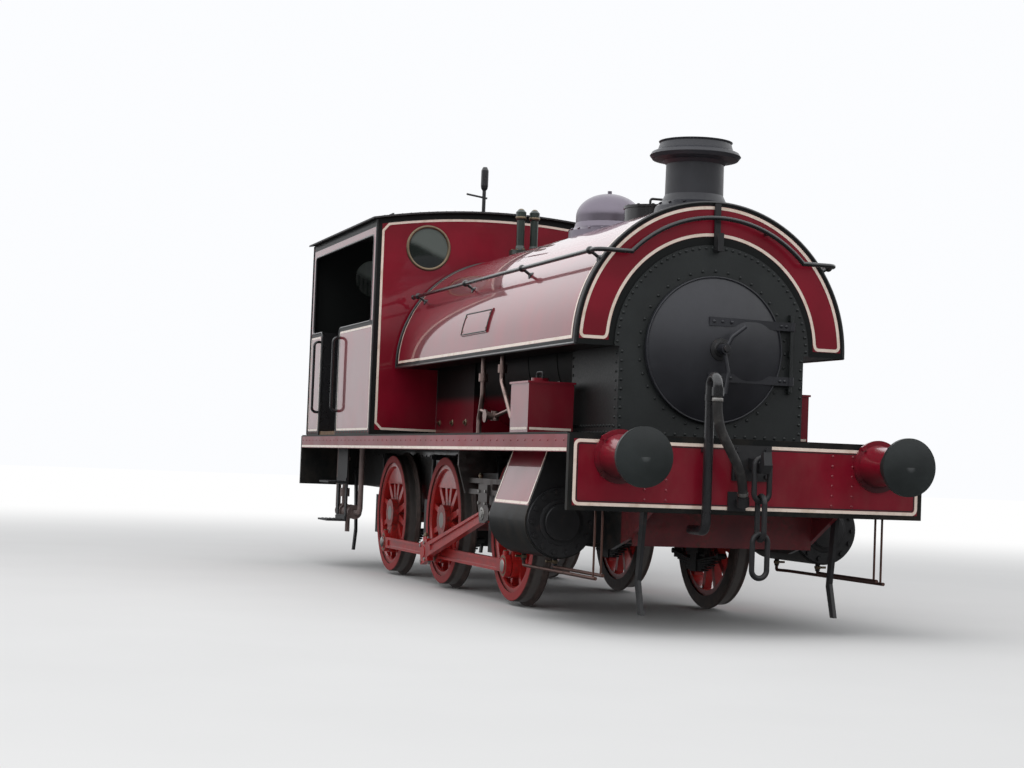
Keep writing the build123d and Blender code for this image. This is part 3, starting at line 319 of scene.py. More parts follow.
def lined_paint(name, edge_and_shade_black=None, dust=0.35, coat=1.0):
    """Crimson varnish, black where edge_and_shade_black gives a mask above 0: black edges outside the lining,
    and painted shade on the boiler.
    """
    finish = Finish(name)
    clouds = finish.noise(2.2, 5, 0.55)
    colour = finish.mix(finish.band(clouds, 0.35, 0.7), CRIMSON_DEEP, CRIMSON)
    black = 0.0
    if edge_and_shade_black:
        black = finish.clamp(edge_and_shade_black(finish))
        colour = finish.mix(black, colour, BLACK_PAINT)
    x, y, z = finish.axes()
    patches = finish.band(finish.noise(5.5, 6, 0.65, (1, 1, 0.6)), 0.38, 0.72)
    dirt = finish.clamp((1 - finish.band(z, 0.9, 1.9)) * patches * dust)
    colour = finish.mix(dirt, colour, DUST)
    fine = finish.noise(90, 3, 0.5)
    return finish.surface(
        Base_Color=colour, Roughness=0.30 + clouds * 0.10 + dirt * 0.3 + black * 0.12,
        Coat_Weight=finish.clamp(coat - dirt * 1.2 - black * 0.90), Coat_Roughness=0.035,
        Normal=finish.bump(fine, 0.0003, 0.15), Specular_IOR_Level=0.30 - black * 0.16)


print("paint of the body:", CRIMSON[:3])


# %% Black edges of the tank and cab
def tank_edges(finish):
    """Black outside the tank's lines: both ends, the lower edge and the rims of the front plate."""
    x, y, z = finish.axes()
    radius = finish.length(y, z - TANK_CENTRE)
    beside, past = 0.062, 0.012
    low = z < TANK_BOTTOM + 0.036
    sides = (x > TANK_FRONT - beside) + (x < TANK_REAR + beside) + low
    plate = (radius < LINING_INNER - past) + (radius > LINING_OUTER + past) + low
    on_front = x > TANK_FRONT - 0.002
    return finish.clamp(sides) * (1 - on_front) + finish.clamp(plate) * on_front


def cab_sheet_edges(finish):
    """Black outside the line on the cab's front and rear sheets, under the roof and down both posts."""
    x, y, z = finish.axes()
    post, roof = POST_LINE - HALF_LINE, ROOF_LINE - HALF_LINE
    from_roof = finish.length(y, z - ROOF_CENTRE)
    inside = (x < CAB_FRONT - SHEET) * (x > CAB_REAR + SHEET)
    edge = (finish.size(y) > CAB_HALF - post) + (from_roof > ROOF_RADIUS - roof) + (z < FOOTPLATE + post)
    return edge + inside


def cab_side_edges(finish):
    """Black round the lower panels of the cab sides. Above the waist only posts are left, all black-edged."""
    x, y, z = finish.axes()
    post, sill, jamb = POST_LINE - HALF_LINE, SILL_LINE - HALF_LINE, DOOR_LINE - HALF_LINE
    ends = (x > CAB_FRONT - post) + (x < CAB_REAR + post)
    ends = ends + (z < FOOTPLATE + sill) + (z > OPENING_TOP + ROOF_LINE)
    door = (x > DOOR_REAR - jamb) * (x < DOOR_FRONT + jamb) * (z < OPENING_TOP)
    waist = (z > WAIST - jamb) * (z < WAIST + 0.004)
    inside = finish.size(y) < CAB_HALF - SHEET
    return ends + door + waist + inside


print("masks so far:", tank_edges.__name__, cab_sheet_edges.__name__, cab_side_edges.__name__)


# %% Black edges of the chassis, and painted shade on the boiler
PANEL_LOW, PANEL_HIGH, VALANCE_TOP = 0.742, 1.122, 1.196


def beam_edges(finish):
    x, y, z = finish.axes()
    rim = BEAM_LINE - HALF_LINE
    edge = (finish.size(y) > BEAM_HALF - rim) + (z < BEAM_LOW + rim) + (z > BEAM_HIGH - rim)
    return edge + (finish.size(x) < BEAM_FACE - 0.001)


def jacket_edges(finish):
    """The cylinder's upper flank is a crimson panel. Its ends and all below it are black."""
    x, y, z = finish.axes()
    ends = (x < JACKET_REAR + 0.022) + (x > JACKET_FRONT - 0.022)
    return ends + (z < PANEL_LOW) + (z > PANEL_HIGH)


def valance_edges(finish):
    """Only the valance is crimson. The running plate above it and its inner side are black."""
    x, y, z = finish.axes()
    return (z > VALANCE_TOP) + (finish.size(y) < BEAM_HALF - 0.001)


def boiler_shade_black(finish):
    """Painted shade: under the tank the lagging and the firebox are painted black, where the tank's shadow
    falls. Crimson starts lower down, where they show.
    """
    x, y, z = finish.axes()
    return finish.band(z, 1.46, 1.56)


tank_paint = lined_paint("tank crimson", tank_edges, dust=0.0)
sheet_paint = lined_paint("cab sheet crimson", cab_sheet_edges, dust=0.08, coat=0.8)
side_paint = lined_paint("cab side crimson", cab_side_edges, dust=0.15)
beam_paint = lined_paint("beam crimson", beam_edges, dust=0.10, coat=0.7)
jacket_paint = lined_paint("cylinder crimson", jacket_edges, dust=0.12)
valance_paint = lined_paint("valance crimson", valance_edges, dust=0.20, coat=0.24)
# painted shade: the boiler and firebox are black above 1.46 to 1.56 m, under the tank
boiler_paint = lined_paint("boiler crimson", boiler_shade_black, dust=0.15, coat=0.35)
panel_paint = lined_paint("crimson", dust=0.15)
print("crimson finishes end with:", panel_paint.name)

# %% [markdown]
# ## Vermilion running gear
# Wheels and rods are a hotter red, and they live in oil and brake dust. The dirt is a mask of two noises,
# one broad for oily patches and one fine for grit. A wheel also gets a dark ring round its hub and bare
# steel at the end of its axle, both found from the distance to the axle line.

# %% Colours of the running gear
VERMILION = solid(0.46, 0.016, 0.014)
VERMILION_DARK = solid(0.25, 0.008, 0.009)
OIL_BROWN = solid(0.040, 0.020, 0.014)
BARE_STEEL = solid(0.30, 0.28, 0.26)
TYRE_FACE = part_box("tyres_front")[1][1]
HUB_FACE, AXLE_RADIUS, FRAME_RED_FROM = 0.8265, 0.062, 3.380


def axle_distance(finish):
    """How far a point is from the nearest axle line."""
    x, y, z = finish.axes()
    rise = z - AXLE_Z
    distances = [finish.length(x - place, rise) for place in AXLES.values()]
    nearest = finish.maths("MINIMUM", distances[0], distances[1])
    return finish.maths("MINIMUM", nearest, distances[2])


print("tyres face out at:", round(TYRE_FACE, 3))


# %% Paint with oil and grit
def greasy_paint(name, light, dark, grime=0.8, roughness=0.34, wheel=False, black=None):
    finish = Finish(name)
    broad = finish.noise(4.5, 6, 0.62)
    grit = finish.noise(38, 4, 0.7)
    colour = finish.mix(finish.band(broad, 0.3, 0.7), dark, light)
    mask = finish.clamp(finish.band(broad * 0.6 + grit * 0.5, 0.52, 0.74) * grime)
    metal = 0.0
    if black:
        colour = finish.mix(finish.clamp(black(finish)), colour, BLACK_PAINT)
    if wheel:
        x, y, z = finish.axes()
        reach = axle_distance(finish)
        metal = (reach < AXLE_RADIUS) * (finish.size(y) > HUB_FACE)
        hub_oil = (1 - finish.band(reach, 0.11, 0.24)) * finish.band(grit, 0.3, 0.6)
        mask = finish.clamp(mask + hub_oil * 0.55 + finish.band(reach, 0.405, 0.44) * 0.35)
        colour = finish.mix(mask, colour, OIL_BROWN)
        colour = finish.mix(metal, colour, BARE_STEEL)
        metal = finish.clamp(metal)
    else:
        colour = finish.mix(mask, colour, OIL_BROWN)
    return finish.surface(
        Base_Color=colour, Roughness=roughness + mask * 0.25, Coat_Weight=finish.clamp(0.6 - mask * 0.6),
        Coat_Roughness=0.10, Metallic=metal, Normal=finish.bump(grit, 0.0008, 0.4))


print("ready:", greasy_paint.__name__)


# %% Paint the wheels, rods, frames and buffer stocks
def frame_black(finish):
    """The main frames are black behind the wheels. Only their front end keeps its red."""
    x, y, z = finish.axes()
    return x < FRAME_RED_FROM


def stock_shade(finish):
    """Painted shade: the lower half of each stock, under the buffer head, is blackened."""
    x, y, z = finish.axes()
    return (1 - finish.band(z, 0.97, 1.09)) * 0.75


wheel_paint = greasy_paint("wheel vermilion", VERMILION, VERMILION_DARK, 0.45, wheel=True)
rod_paint = greasy_paint("rod vermilion", VERMILION, VERMILION_DARK, 0.40)
frame_paint = greasy_paint("frame red", solid(0.15, 0.006, 0.010), solid(0.07, 0.004, 0.007), 0.9, 0.45,
                           black=frame_black)
# the blackened lower half of each stock is painted shade
stock_paint = greasy_paint("buffer stock crimson", CRIMSON, CRIMSON_DEEP, 0.35, 0.3, black=stock_shade)
print("running gear finishes ready")


# %% Iron, black and bright finishes
def iron(name, base, scale=12.0, roughness=0.5, grain=0.0012, rust=0.0, coat=0.0, relief=0.5):
    """Painted or bare iron: broad tone, fine grain and a little rust."""
    finish = Finish(name)
    broad = finish.noise(scale * 0.25, 5, 0.6)
    fine = finish.noise(scale * 6, 4, 0.7)
    pale = solid(*(min(1.0, c * 1.7 + 0.004) for c in base[:3]))
    colour = finish.mix(finish.band(broad, 0.3, 0.75), base, pale)
    if rust:
        spots = finish.clamp(finish.band(finish.noise(scale, 7, 0.72), 0.56, 0.7) * rust)
        colour = finish.mix(spots, colour, solid(0.12, 0.045, 0.022))
    return finish.surface(
        Base_Color=colour, Roughness=finish.clamp(roughness + (fine - 0.5) * 0.3 + broad * 0.08),
        Coat_Weight=coat, Coat_Roughness=0.15, Normal=finish.bump(fine, grain, relief))


def bright_metal(name, tint, roughness=0.26, stretch=(1, 1, 1), dirt=0.3):
    """Bare metal with fine scratches along one axis and oil in the hollows."""
    finish = Finish(name)
    scratches = finish.noise(60, 3, 0.6, stretch)
    oil = finish.clamp(finish.band(finish.noise(7, 6, 0.65), 0.48, 0.72) * dirt)
    colour = finish.mix(oil, tint, OIL_BROWN)
    return finish.surface(
        Base_Color=colour, Metallic=finish.clamp(1 - oil * 0.7),
        Roughness=finish.clamp(roughness + scratches * 0.18 + oil * 0.2),
        Normal=finish.bump(scratches, 0.0003, 0.3))


print("ready:", iron.__name__, bright_metal.__name__)


# %% Worn tyres
def tyre_finish(name):
    """Red on a tyre's outer side, brown steel elsewhere, and a band polished by the rail on its tread."""
    finish = Finish(name)
    reach = axle_distance(finish)
    x, y, z = finish.axes()
    across = finish.size(y)
    rust = finish.noise(18, 6, 0.7)
    worn = finish.clamp(finish.band(reach, 0.495, 0.501) * finish.band(across, 0.715, 0.735)
                        * (1 - finish.band(across, 0.765, 0.790)) * 0.8)
    brown, pale = solid(0.030, 0.019, 0.017), solid(0.070, 0.042, 0.034)
    colour = finish.mix(finish.band(rust, 0.35, 0.7), brown, pale)
    outer = finish.band(across, TYRE_FACE - 0.004, TYRE_FACE - 0.001)
    painted = outer * (1 - finish.band(reach, 0.505, 0.522))
    colour = finish.mix(painted * (1 - finish.band(rust, 0.52, 0.78) * 0.7), colour, VERMILION_DARK)
    colour = finish.mix(worn, colour, solid(0.24, 0.22, 0.21))
    return finish.surface(Base_Color=colour, Metallic=worn, Roughness=0.56 + rust * 0.12 - worn * 0.22,
                          Normal=finish.bump(rust, 0.0008, 0.4))


tyre_steel = tyre_finish("tyre steel")
print("tyres:", tyre_steel.name)

# %% Every iron and metal
smokebox_paint = iron("smokebox black", solid(0.007, 0.009, 0.009), 9, 0.46, 0.0010)
door_paint = iron("door and chimney black", solid(0.013, 0.0135, 0.017), 7, 0.36, 0.0006, relief=0.35)
black_iron = iron("black iron", solid(0.009, 0.009, 0.010), 14, 0.46, 0.0012, rust=0.10)
black_gloss = iron("black gloss", solid(0.008, 0.008, 0.009), 3, 0.26, 0.0003, coat=0.5, relief=0.12)
buffer_black = iron("buffer head black", solid(0.008, 0.011, 0.011), 16, 0.40, 0.0010)
roof_paint = iron("roof black", solid(0.020, 0.020, 0.021), 5, 0.60, 0.0014)
green_paint = iron("bronze green", solid(0.010, 0.018, 0.014), 4, 0.28, 0.0003, coat=0.6, relief=0.15)
pipe_grey = iron("pipe lagging", solid(0.13, 0.095, 0.088), 20, 0.55, 0.0012)
steel = bright_metal("bright steel", solid(0.42, 0.41, 0.39), 0.32, (1, 6, 6), 0.55)
oily_steel = bright_metal("oily steel", solid(0.17, 0.155, 0.150), 0.40, (1, 6, 6), 0.80)
dome_metal = bright_metal("polished dome", solid(0.200, 0.178, 0.212), 0.27, (1, 1, 9), 0.12)
brass = bright_metal("brass", solid(0.66, 0.46, 0.19), 0.24, (1, 1, 1), 0.20)
dull_brass = bright_metal("dull brass", solid(0.26, 0.205, 0.140), 0.38, (1, 1, 1), 0.35)
copper = bright_metal("copper pipe", solid(0.50, 0.22, 0.13), 0.32, (1, 1, 1), 0.5)
sooty_copper = bright_metal("sooty copper", solid(0.155, 0.085, 0.070), 0.42, (1, 1, 1), 0.85)
feed_copper = bright_metal("feed pipe copper", solid(0.36, 0.26, 0.235), 0.28, (1, 1, 1), 0.55)
print("iron and metal finishes ready")


# %% Wood and glass
def boards(name):
    """Worn oak boards across the cab floor."""
    finish = Finish(name)
    x, y, z = finish.axes()
    grain = finish.noise(9, 6, 0.6, (10, 1, 4))
    seam = finish.maths("PINGPONG", x, 0.075) < 0.0035
    colour = finish.mix(finish.band(grain, 0.3, 0.7), solid(0.13, 0.075, 0.040), solid(0.26, 0.165, 0.095))
    colour = finish.mix(seam, colour, solid(0.02, 0.014, 0.010))
    return finish.surface(Base_Color=colour, Roughness=0.62 + grain * 0.2,
                          Normal=finish.bump(grain - seam, 0.003, 0.6))


def window_pane(name):
    """Old glass, grey-green with dust above and dark with soot below."""
    finish = Finish(name)
    x, y, z = finish.axes()
    smear = finish.noise(5, 4, 0.6)
    soot = 1 - finish.band(z + smear * 0.04 - finish.size(y) * 0.4, 2.53, 2.60)
    colour = finish.mix(soot, solid(0.115, 0.135, 0.125), solid(0.012, 0.017, 0.014))
    return finish.surface(Base_Color=colour, Roughness=0.05 + smear * 0.08, Alpha=0.86 + smear * 0.1,
                          Coat_Weight=0.6, Coat_Roughness=0.03)


floor_boards = boards("cab floor boards")
glass = window_pane("window glass")
print("wood and glass:", floor_boards.name, glass.name)


# %% Rubber and line paint
def rubber(name):
    finish = Finish(name)
    bloom = finish.noise(20, 5, 0.6)
    x, y, z = finish.axes()
    ribs = finish.maths("PINGPONG", z, 0.006)
    dark, pale = solid(0.013, 0.012, 0.012), solid(0.040, 0.037, 0.034)
    colour = finish.mix(finish.band(bloom, 0.45, 0.75), dark, pale)
    return finish.surface(Base_Color=colour, Roughness=0.55 + bloom * 0.2,
                          Normal=finish.bump(bloom * 0.3 + ribs * 60, 0.0010, 0.5))


def line_paint(name, tint, coat=0.6):
    finish = Finish(name)
    age = finish.noise(14, 4, 0.6)
    aged = solid(tint[0] * 0.8, tint[1] * 0.76, tint[2] * 0.7)
    colour = finish.mix(finish.band(age, 0.45, 0.75), tint, aged)
    return finish.surface(
        Base_Color=colour, Roughness=0.35 + age * 0.1, Coat_Weight=coat, Coat_Roughness=0.08)


hose_rubber = rubber("hose rubber")
brake_hose.data.materials.append(hose_rubber)
cream_line = line_paint("cream line", CREAM)
beading_black = line_paint("beading black", solid(0.013, 0.013, 0.014))
dial_white = line_paint("dial white", solid(0.72, 0.70, 0.64), 0.3)
print("rubber and line finishes ready")

# %% [markdown]
# ## Paint the CAD bodies
# A CAD node keeps its mesh, so dressing it means one material in its slot. Nodes that share a finish are
# listed together, and any node left out of the lists is printed, so that none keeps a flat colour.

# %% Give each node its finish
NODE_FINISHES = {
    tank_paint: ["saddle_tank"],
    sheet_paint: ["cab_front", "cab_rear"],
    side_paint: ["cab_side_left", "cab_side_right"],
    beam_paint: ["buffer_beams"],
    jacket_paint: ["cylinder_jackets"],
    valance_paint: ["footplate"],
    panel_paint: ["sandboxes", "tank_plate"],
    boiler_paint: ["boiler", "firebox"],
    wheel_paint: ["wheels_front", "wheels_middle", "wheels_rear"],
    rod_paint: ["coupling_rod_left", "coupling_rod_right", "connecting_rod_left", "connecting_rod_right"],
    frame_paint: ["frames"],
    stock_paint: ["buffer_stocks"],
    tyre_steel: ["tyres_front", "tyres_middle", "tyres_rear"],
    steel: ["cab_controls"],
    oily_steel: ["crosshead_left", "crosshead_right", "slide_bars"],
    smokebox_paint: ["smokebox"],
    door_paint: ["smokebox_door", "chimney"],
    black_iron: ["axleboxes", "springs", "ashpan", "guard_irons", "brake_gear", "cab_steps", "cylinders",
                 "drawhooks", "lamp_irons", "coupling_chains", "hose_ends"],
    black_gloss: ["bunker_plate", "handrails", "standpipes", "whistle", "filler_neck", "filler_lid"],
    buffer_black: ["buffer_heads"],
    green_paint: ["safety_valves"],
    dome_metal: ["dome"],
    brass: ["backhead_fittings"],
    roof_paint: ["cab_roof"],
    floor_boards: ["cab_floor"],
    glass: ["cab_windows"],
    hose_rubber: ["vacuum_hose"],
    feed_copper: ["pipework"],
    sooty_copper: ["drain_pipes"],
    pipe_grey: ["injectors"],
}
print("finishes in use:", len(NODE_FINISHES))


# %% Put each finish in its node's slot
def coat(mesh, material):
    """Give a mesh one material, and take away any other."""
    mesh.materials.clear()
    mesh.materials.append(material)


unpainted = set(nodes)
for material, names in NODE_FINISHES.items():
    for name in names:
        coat(nodes[name].data, material)
        unpainted.discard(name)
print("left without a finish:", sorted(unpainted))

# %% [markdown]
# ## Pieces that ride on a body
# Each fine piece is one mesh at the origin, with its place in its points, and it rides on the body that
# carries it.

# %% The body, the axes and the sides
LOCO = "locomotive"
X_AXIS, Y_AXIS, Z_AXIS = Vector((1, 0, 0)), Vector((0, 1, 0)), Vector((0, 0, 1))
SIDES = {"right": -1, "left": 1}

# %% Make a piece of a mesh
made_pieces = []


def finished(name, mesh, material, body=LOCO, slot=None):
    """Link a mesh as a piece in its finish, which rides on a body. The slot argument is not used."""
    piece = add_object(name, mesh)
    coat(mesh, material)
    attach(piece, body)
    made_pieces.append((name, len(mesh.polygons)))
    return piece


def mesh_from(bm, name, smooth=40):
    """Close a bmesh into a mesh with outward faces, smooth except at edges sharper than an angle."""
    bmesh.ops.recalc_face_normals(bm, faces=bm.faces)
    for face in bm.faces:
        face.smooth = True
    for edge in bm.edges:
        edge.smooth = len(edge.link_faces) == 2 and edge.calc_face_angle(0) < radians(smooth)
    mesh = bpy.data.meshes.new(name)
    bm.to_mesh(mesh)
    bm.free()
    return mesh


print("ready:", finished.__name__, mesh_from.__name__)

# %% [markdown]
# ## Cream lining
# Lining is one cream line inside a black edge. It could be painted by the shader, but a line this thin
# blurs when a texture is baked, so each is a flat ribbon that stands a millimetre off its panel.


# %% Ribbons of paint
def ribbon(bm, points, normal, width, lift=0.0012, closed=True):
    """A flat strip of paint along a line. normal is one vector, or one for each point."""
    count = len(points)
    normals = normal if isinstance(normal, list) else [normal] * count
    rails = []
    for i, point in enumerate(points):
        before = points[i - 1] if i or closed else points[i]
        after = points[(i + 1) % count] if i < count - 1 or closed else points[i]
        incoming = (point - before).normalized() if point != before else (after - point).normalized()
        outgoing = (after - point).normalized() if after != point else incoming
        along = (incoming + outgoing).normalized()
        side = normals[i].cross(along).normalized()
        stretch = 1 / max(0.5, side.dot(normals[i].cross(outgoing).normalized()))
        centre = point + normals[i] * lift
        rails.append([bm.verts.new(centre + side * (width / 2 * stretch * sign)) for sign in (-1, 1)])
    for i in range(count if closed else count - 1):
        a, b = rails[i], rails[(i + 1) % count]
        face = bm.faces.new((a[0], b[0], b[1], a[1]))
        face.normal_update()
        if face.normal.dot(normals[i]) < 0:
            face.normal_flip()


def rounded_loop(u0, u1, v0, v1, radius, steps=6):
    """Corner-rounded rectangle as pairs of u and v."""
    loop = []
    for cu, cv, start in ((u1 - radius, v1 - radius, 0), (u0 + radius, v1 - radius, 90),
                          (u0 + radius, v0 + radius, 180), (u1 - radius, v0 + radius, 270)):
        for i in range(steps + 1):
            angle = radians(start + 90 * i / steps)
            loop.append((cu + radius * cos(angle), cv + radius * sin(angle)))
    return loop


def bend_point(start, corner, end, t):
    """A point on the bend from start to end that is pulled towards a corner."""
    return start * (1 - t) ** 2 + corner * 2 * t * (1 - t) + end * t ** 2


print("ready:", ribbon.__name__, rounded_loop.__name__)

# %% Lining on the tank
lining = bmesh.new()
ARC_STEPS = 72
LINE_LOW = TANK_BOTTOM + 0.048
CORNER = 0.035


def low_angle(radius, height):
    return asin((height - TANK_CENTRE) / radius)


def tank_arc(radius, x, start, reverse=False, steps=ARC_STEPS):
    """An arc over the tank between equal angles on both sides, from left to right."""
    turns = [start + (pi - 2 * start) * i / steps for i in range(steps + 1)]
    if reverse:
        turns.reverse()
    return [Vector((x, radius * cos(t), TANK_CENTRE + radius * sin(t))) for t in turns], turns


side_front, side_rear = TANK_FRONT - 0.075, TANK_REAR + 0.075
path, normals = [], []
for x, reverse in ((side_front, False), (side_rear, True)):
    points, turns = tank_arc(TANK_RADIUS, x, low_angle(TANK_RADIUS, LINE_LOW), reverse)
    path += points
    normals += [Vector((0, cos(t), sin(t))) for t in turns]
ribbon(lining, path, normals, LINE_WIDTH)
print("points of the side lines:", len(path))


# %% Lining on the tank's front plate
def front_lining_loop():
    """The horseshoe on the tank's front plate, with its four lower corners rounded."""
    high = LINE_LOW + CORNER
    outer, turns = tank_arc(LINING_OUTER, TANK_FRONT, low_angle(LINING_OUTER, high))
    inner, turns = tank_arc(LINING_INNER, TANK_FRONT, low_angle(LINING_INNER, high), True)

    def foot(arc_y, line_y):
        """The corner from an arc's end down to the low line."""
        ends = ((arc_y, high), (arc_y, LINE_LOW), (line_y, LINE_LOW))
        start, corner, end = (Vector((TANK_FRONT, y, z)) for y, z in ends)
        return [bend_point(start, corner, end, i / 6) for i in range(1, 6)]

    right = foot(-LINING_OUTER, CORNER - LINING_OUTER) + foot(-LINING_INNER, -LINING_INNER - CORNER)[::-1]
    left = foot(LINING_INNER, LINING_INNER + CORNER) + foot(LINING_OUTER, LINING_OUTER - CORNER)[::-1]
    return outer + right + inner + left


front_loop = front_lining_loop()
ribbon(lining, front_loop, X_AXIS, LINE_WIDTH)
print("points of the front line:", len(front_loop))


# %% Lining on the beams and the cab's ends
def line_beam(bm, end, edge, corner, width):
    """A line round one beam's face, so far in from its edges."""
    loop = rounded_loop(edge - BEAM_HALF, BEAM_HALF - edge, BEAM_LOW + edge, BEAM_HIGH - edge, corner)
    ribbon(bm, [Vector((end * BEAM_FACE, y, z)) for y, z in loop], X_AXIS * end, width)


def roof_height(y, drop=0.0):
    return ROOF_CENTRE + sqrt((ROOF_RADIUS - drop) ** 2 - y ** 2)


for end in (1, -1):
    line_beam(lining, end, BEAM_LINE, 0.03, LINE_WIDTH)

for face_x, facing in ((CAB_FRONT, 1), (CAB_REAR, -1)):
    half, corner, low = CAB_HALF - POST_LINE, 0.05, FOOTPLATE + POST_LINE
    top = roof_height(half, ROOF_LINE)
    loop = [Vector((face_x, half, low + corner)), Vector((face_x, half, top - corner))]
    crown = [y / 20 * (half - corner) for y in range(20, -21, -1)]
    loop += [Vector((face_x, y, roof_height(y, ROOF_LINE))) for y in crown]
    loop += [Vector((face_x, -half, top - corner)), Vector((face_x, -half, low + corner)),
             Vector((face_x, -half + corner, low)), Vector((face_x, half - corner, low))]
    ribbon(lining, loop, X_AXIS * facing, LINE_WIDTH)
print("lining faces so far:", len(lining.faces))

# %% Lining on the cab sides, valances, sandboxes and cylinders
FLANK_TOP, FLANK_LOW = Vector((0, 1.010, 1.154)), Vector((0, 1.1608, 0.7204))
FLANK_NORMAL = Vector((0, FLANK_TOP.z - FLANK_LOW.z, FLANK_LOW.y - FLANK_TOP.y)).normalized()
for side in (1, -1):
    out = Vector((0, side, 0))
    for x0, x1 in ((DOOR_FRONT + DOOR_LINE, CAB_FRONT - POST_LINE),
                   (CAB_REAR + POST_LINE, DOOR_REAR - DOOR_LINE)):
        loop = rounded_loop(x0, x1, FOOTPLATE + SILL_LINE, WAIST - DOOR_LINE, 0.03)
        ribbon(lining, [Vector((x, side * CAB_HALF, z)) for x, z in loop], out, LINE_WIDTH * 0.9)
    valance_line = [Vector((x, side * BEAM_HALF, 1.104)) for x in (-3.856, 3.856)]
    ribbon(lining, valance_line, out, LINE_WIDTH, closed=False)
    low_line = [Vector((x, side * 1.030, 1.245)) for x in (2.232, 2.588)]
    ribbon(lining, low_line, out, 0.016, closed=False)
    for x, facing in ((2.600, 1), (2.220, -1)):
        line = [Vector((x, side * y, 1.245)) for y in (0.722, 1.018)]
        ribbon(lining, line, X_AXIS * facing, 0.016, closed=False)
    loop = []
    for x, along in rounded_loop(JACKET_REAR + 0.034, JACKET_FRONT - 0.034, 0.11, 0.92, 0.03):
        spot = FLANK_TOP.lerp(FLANK_LOW, along)
        loop.append(Vector((x, side * spot.y, spot.z)))
    ribbon(lining, loop, Vector((0, side * FLANK_NORMAL.y, FLANK_NORMAL.z)), LINE_WIDTH * 0.9)
finished("cream_lining", mesh_from(lining, "cream_lining"), cream_line)
print("lining faces:", made_pieces[-1][1])

# %% [markdown]
# ## Rivets, bolts and tubes from Geometry Nodes
# A locomotive carries hundreds of rivets in straight rows and rings, and dozens of rods and beads of one
# thickness. Modelling each by hand would be slow. One tree sweeps a round section along lines, and another
# copies a head onto a list of places, each turned to its own direction. Both end by realising what they made
# and setting its finish, and the result is kept as a plain mesh.


# %% Start, close and run a tree
def new_tree(name, numbers):
    """An empty tree with geometry in and out, some named numbers and a finish."""
    tree = bpy.data.node_groups.new(name, "GeometryNodeTree")
    face = tree.interface
    face.new_socket("Geometry", in_out="INPUT", socket_type="NodeSocketGeometry")
    for label, value in numbers.items():
        face.new_socket(label, in_out="INPUT", socket_type="NodeSocketFloat").default_value = value
    face.new_socket("Finish", in_out="INPUT", socket_type="NodeSocketMaterial")
    face.new_socket("Geometry", in_out="OUTPUT", socket_type="NodeSocketGeometry")
    return tree, tree.nodes.new("NodeGroupInput"), tree.nodes.new("NodeGroupOutput")


def close_tree(tree, source, result, geometry):
    """Realise the copies and set their finish."""
    real = add_node(tree, "GeometryNodeRealizeInstances", {"Geometry": geometry})
    painted = add_node(tree, "GeometryNodeSetMaterial", {
        "Geometry": real.outputs["Geometry"], "Material": source.outputs["Finish"]})
    tree.links.new(painted.outputs["Geometry"], result.inputs["Geometry"])
    return tree


def run_tree(name, mesh, tree, values):
    """Run a tree on a mesh with a helper object, and keep only the mesh that comes out."""
    holder = add_object(name, mesh)
    modifier = holder.modifiers.new("maker", "NODES")
    modifier.node_group = tree
    for item in tree.interface.items_tree:
        if item.in_out == "INPUT" and item.name in values:
            modifier[item.identifier] = values[item.name]
    bpy.context.view_layer.update()
    made = bpy.data.meshes.new_from_object(holder.evaluated_get(bpy.context.evaluated_depsgraph_get()))
    bpy.data.objects.remove(holder)
    made.name = name
    return made


print("ready:", new_tree.__name__, run_tree.__name__)


# %% Sweep a tube along lines
def tube_tree(name):
    """A round section swept along the edges of a mesh, with closed ends."""
    tree, source, result = new_tree(name, {"Radius": 0.01, "Sides": 10})
    lines = add_node(tree, "GeometryNodeMeshToCurve", {"Mesh": source.outputs["Geometry"]})
    section = add_node(tree, "GeometryNodeCurvePrimitiveCircle", {
        "Radius": source.outputs["Radius"], "Resolution": source.outputs["Sides"]})
    swept = add_node(tree, "GeometryNodeCurveToMesh", {
        "Curve": lines.outputs["Curve"], "Profile Curve": section.outputs["Curve"], "Fill Caps": True})
    return close_tree(tree, source, result, swept.outputs["Mesh"])


TUBE = tube_tree("round tubes")
print("tree ready:", TUBE.name)


# %% Lines with round corners, and tubes along them
def round_corners(points, bend, steps=6):
    """Replace each corner of a line by an arc."""
    points = [Vector(point) for point in points]
    path = [points[0]]
    for before, corner, after in zip(points, points[1:], points[2:]):
        a, b = (before - corner), (after - corner)
        angle = a.angle(b)
        if angle > pi - 0.02:
            path.append(corner)
            continue
        reach = min(bend / tan(angle / 2), a.length * 0.48, b.length * 0.48)
        start, end = corner + a.normalized() * reach, corner + b.normalized() * reach
        path += [bend_point(start, corner, end, i / steps) for i in range(steps + 1)]
    path.append(points[-1])
    return path


def tubes(name, lines, radius, material, body=LOCO, bend=0.0, sides=10, closed=False):
    """Round bars along lines of points, with their corners rounded by a bend."""
    points, edges = [], []
    for line in lines:
        path = round_corners(line, bend) if bend else [Vector(p) for p in line]
        first = len(points)
        points += [tuple(p) for p in path]
        edges += [(first + i, first + i + 1) for i in range(len(path) - 1)]
        if closed:
            edges.append((len(points) - 1, first))
    mesh = bpy.data.meshes.new(name)
    mesh.from_pydata(points, edges, [])
    made = run_tree(name, mesh, TUBE, {"Radius": radius, "Sides": float(sides), "Finish": material})
    bm = bmesh.new()
    bm.from_mesh(made)
    return finished(name, mesh_from(bm, name, 50), material, body)


print("ready:", tubes.__name__)

# %% [markdown]
# ## Beading
# Thin sheets get a half-round bead along their edges, which stiffens them and hides the cut. A round tube
# sunk to half its depth in the edge looks the same and is simpler to sweep.

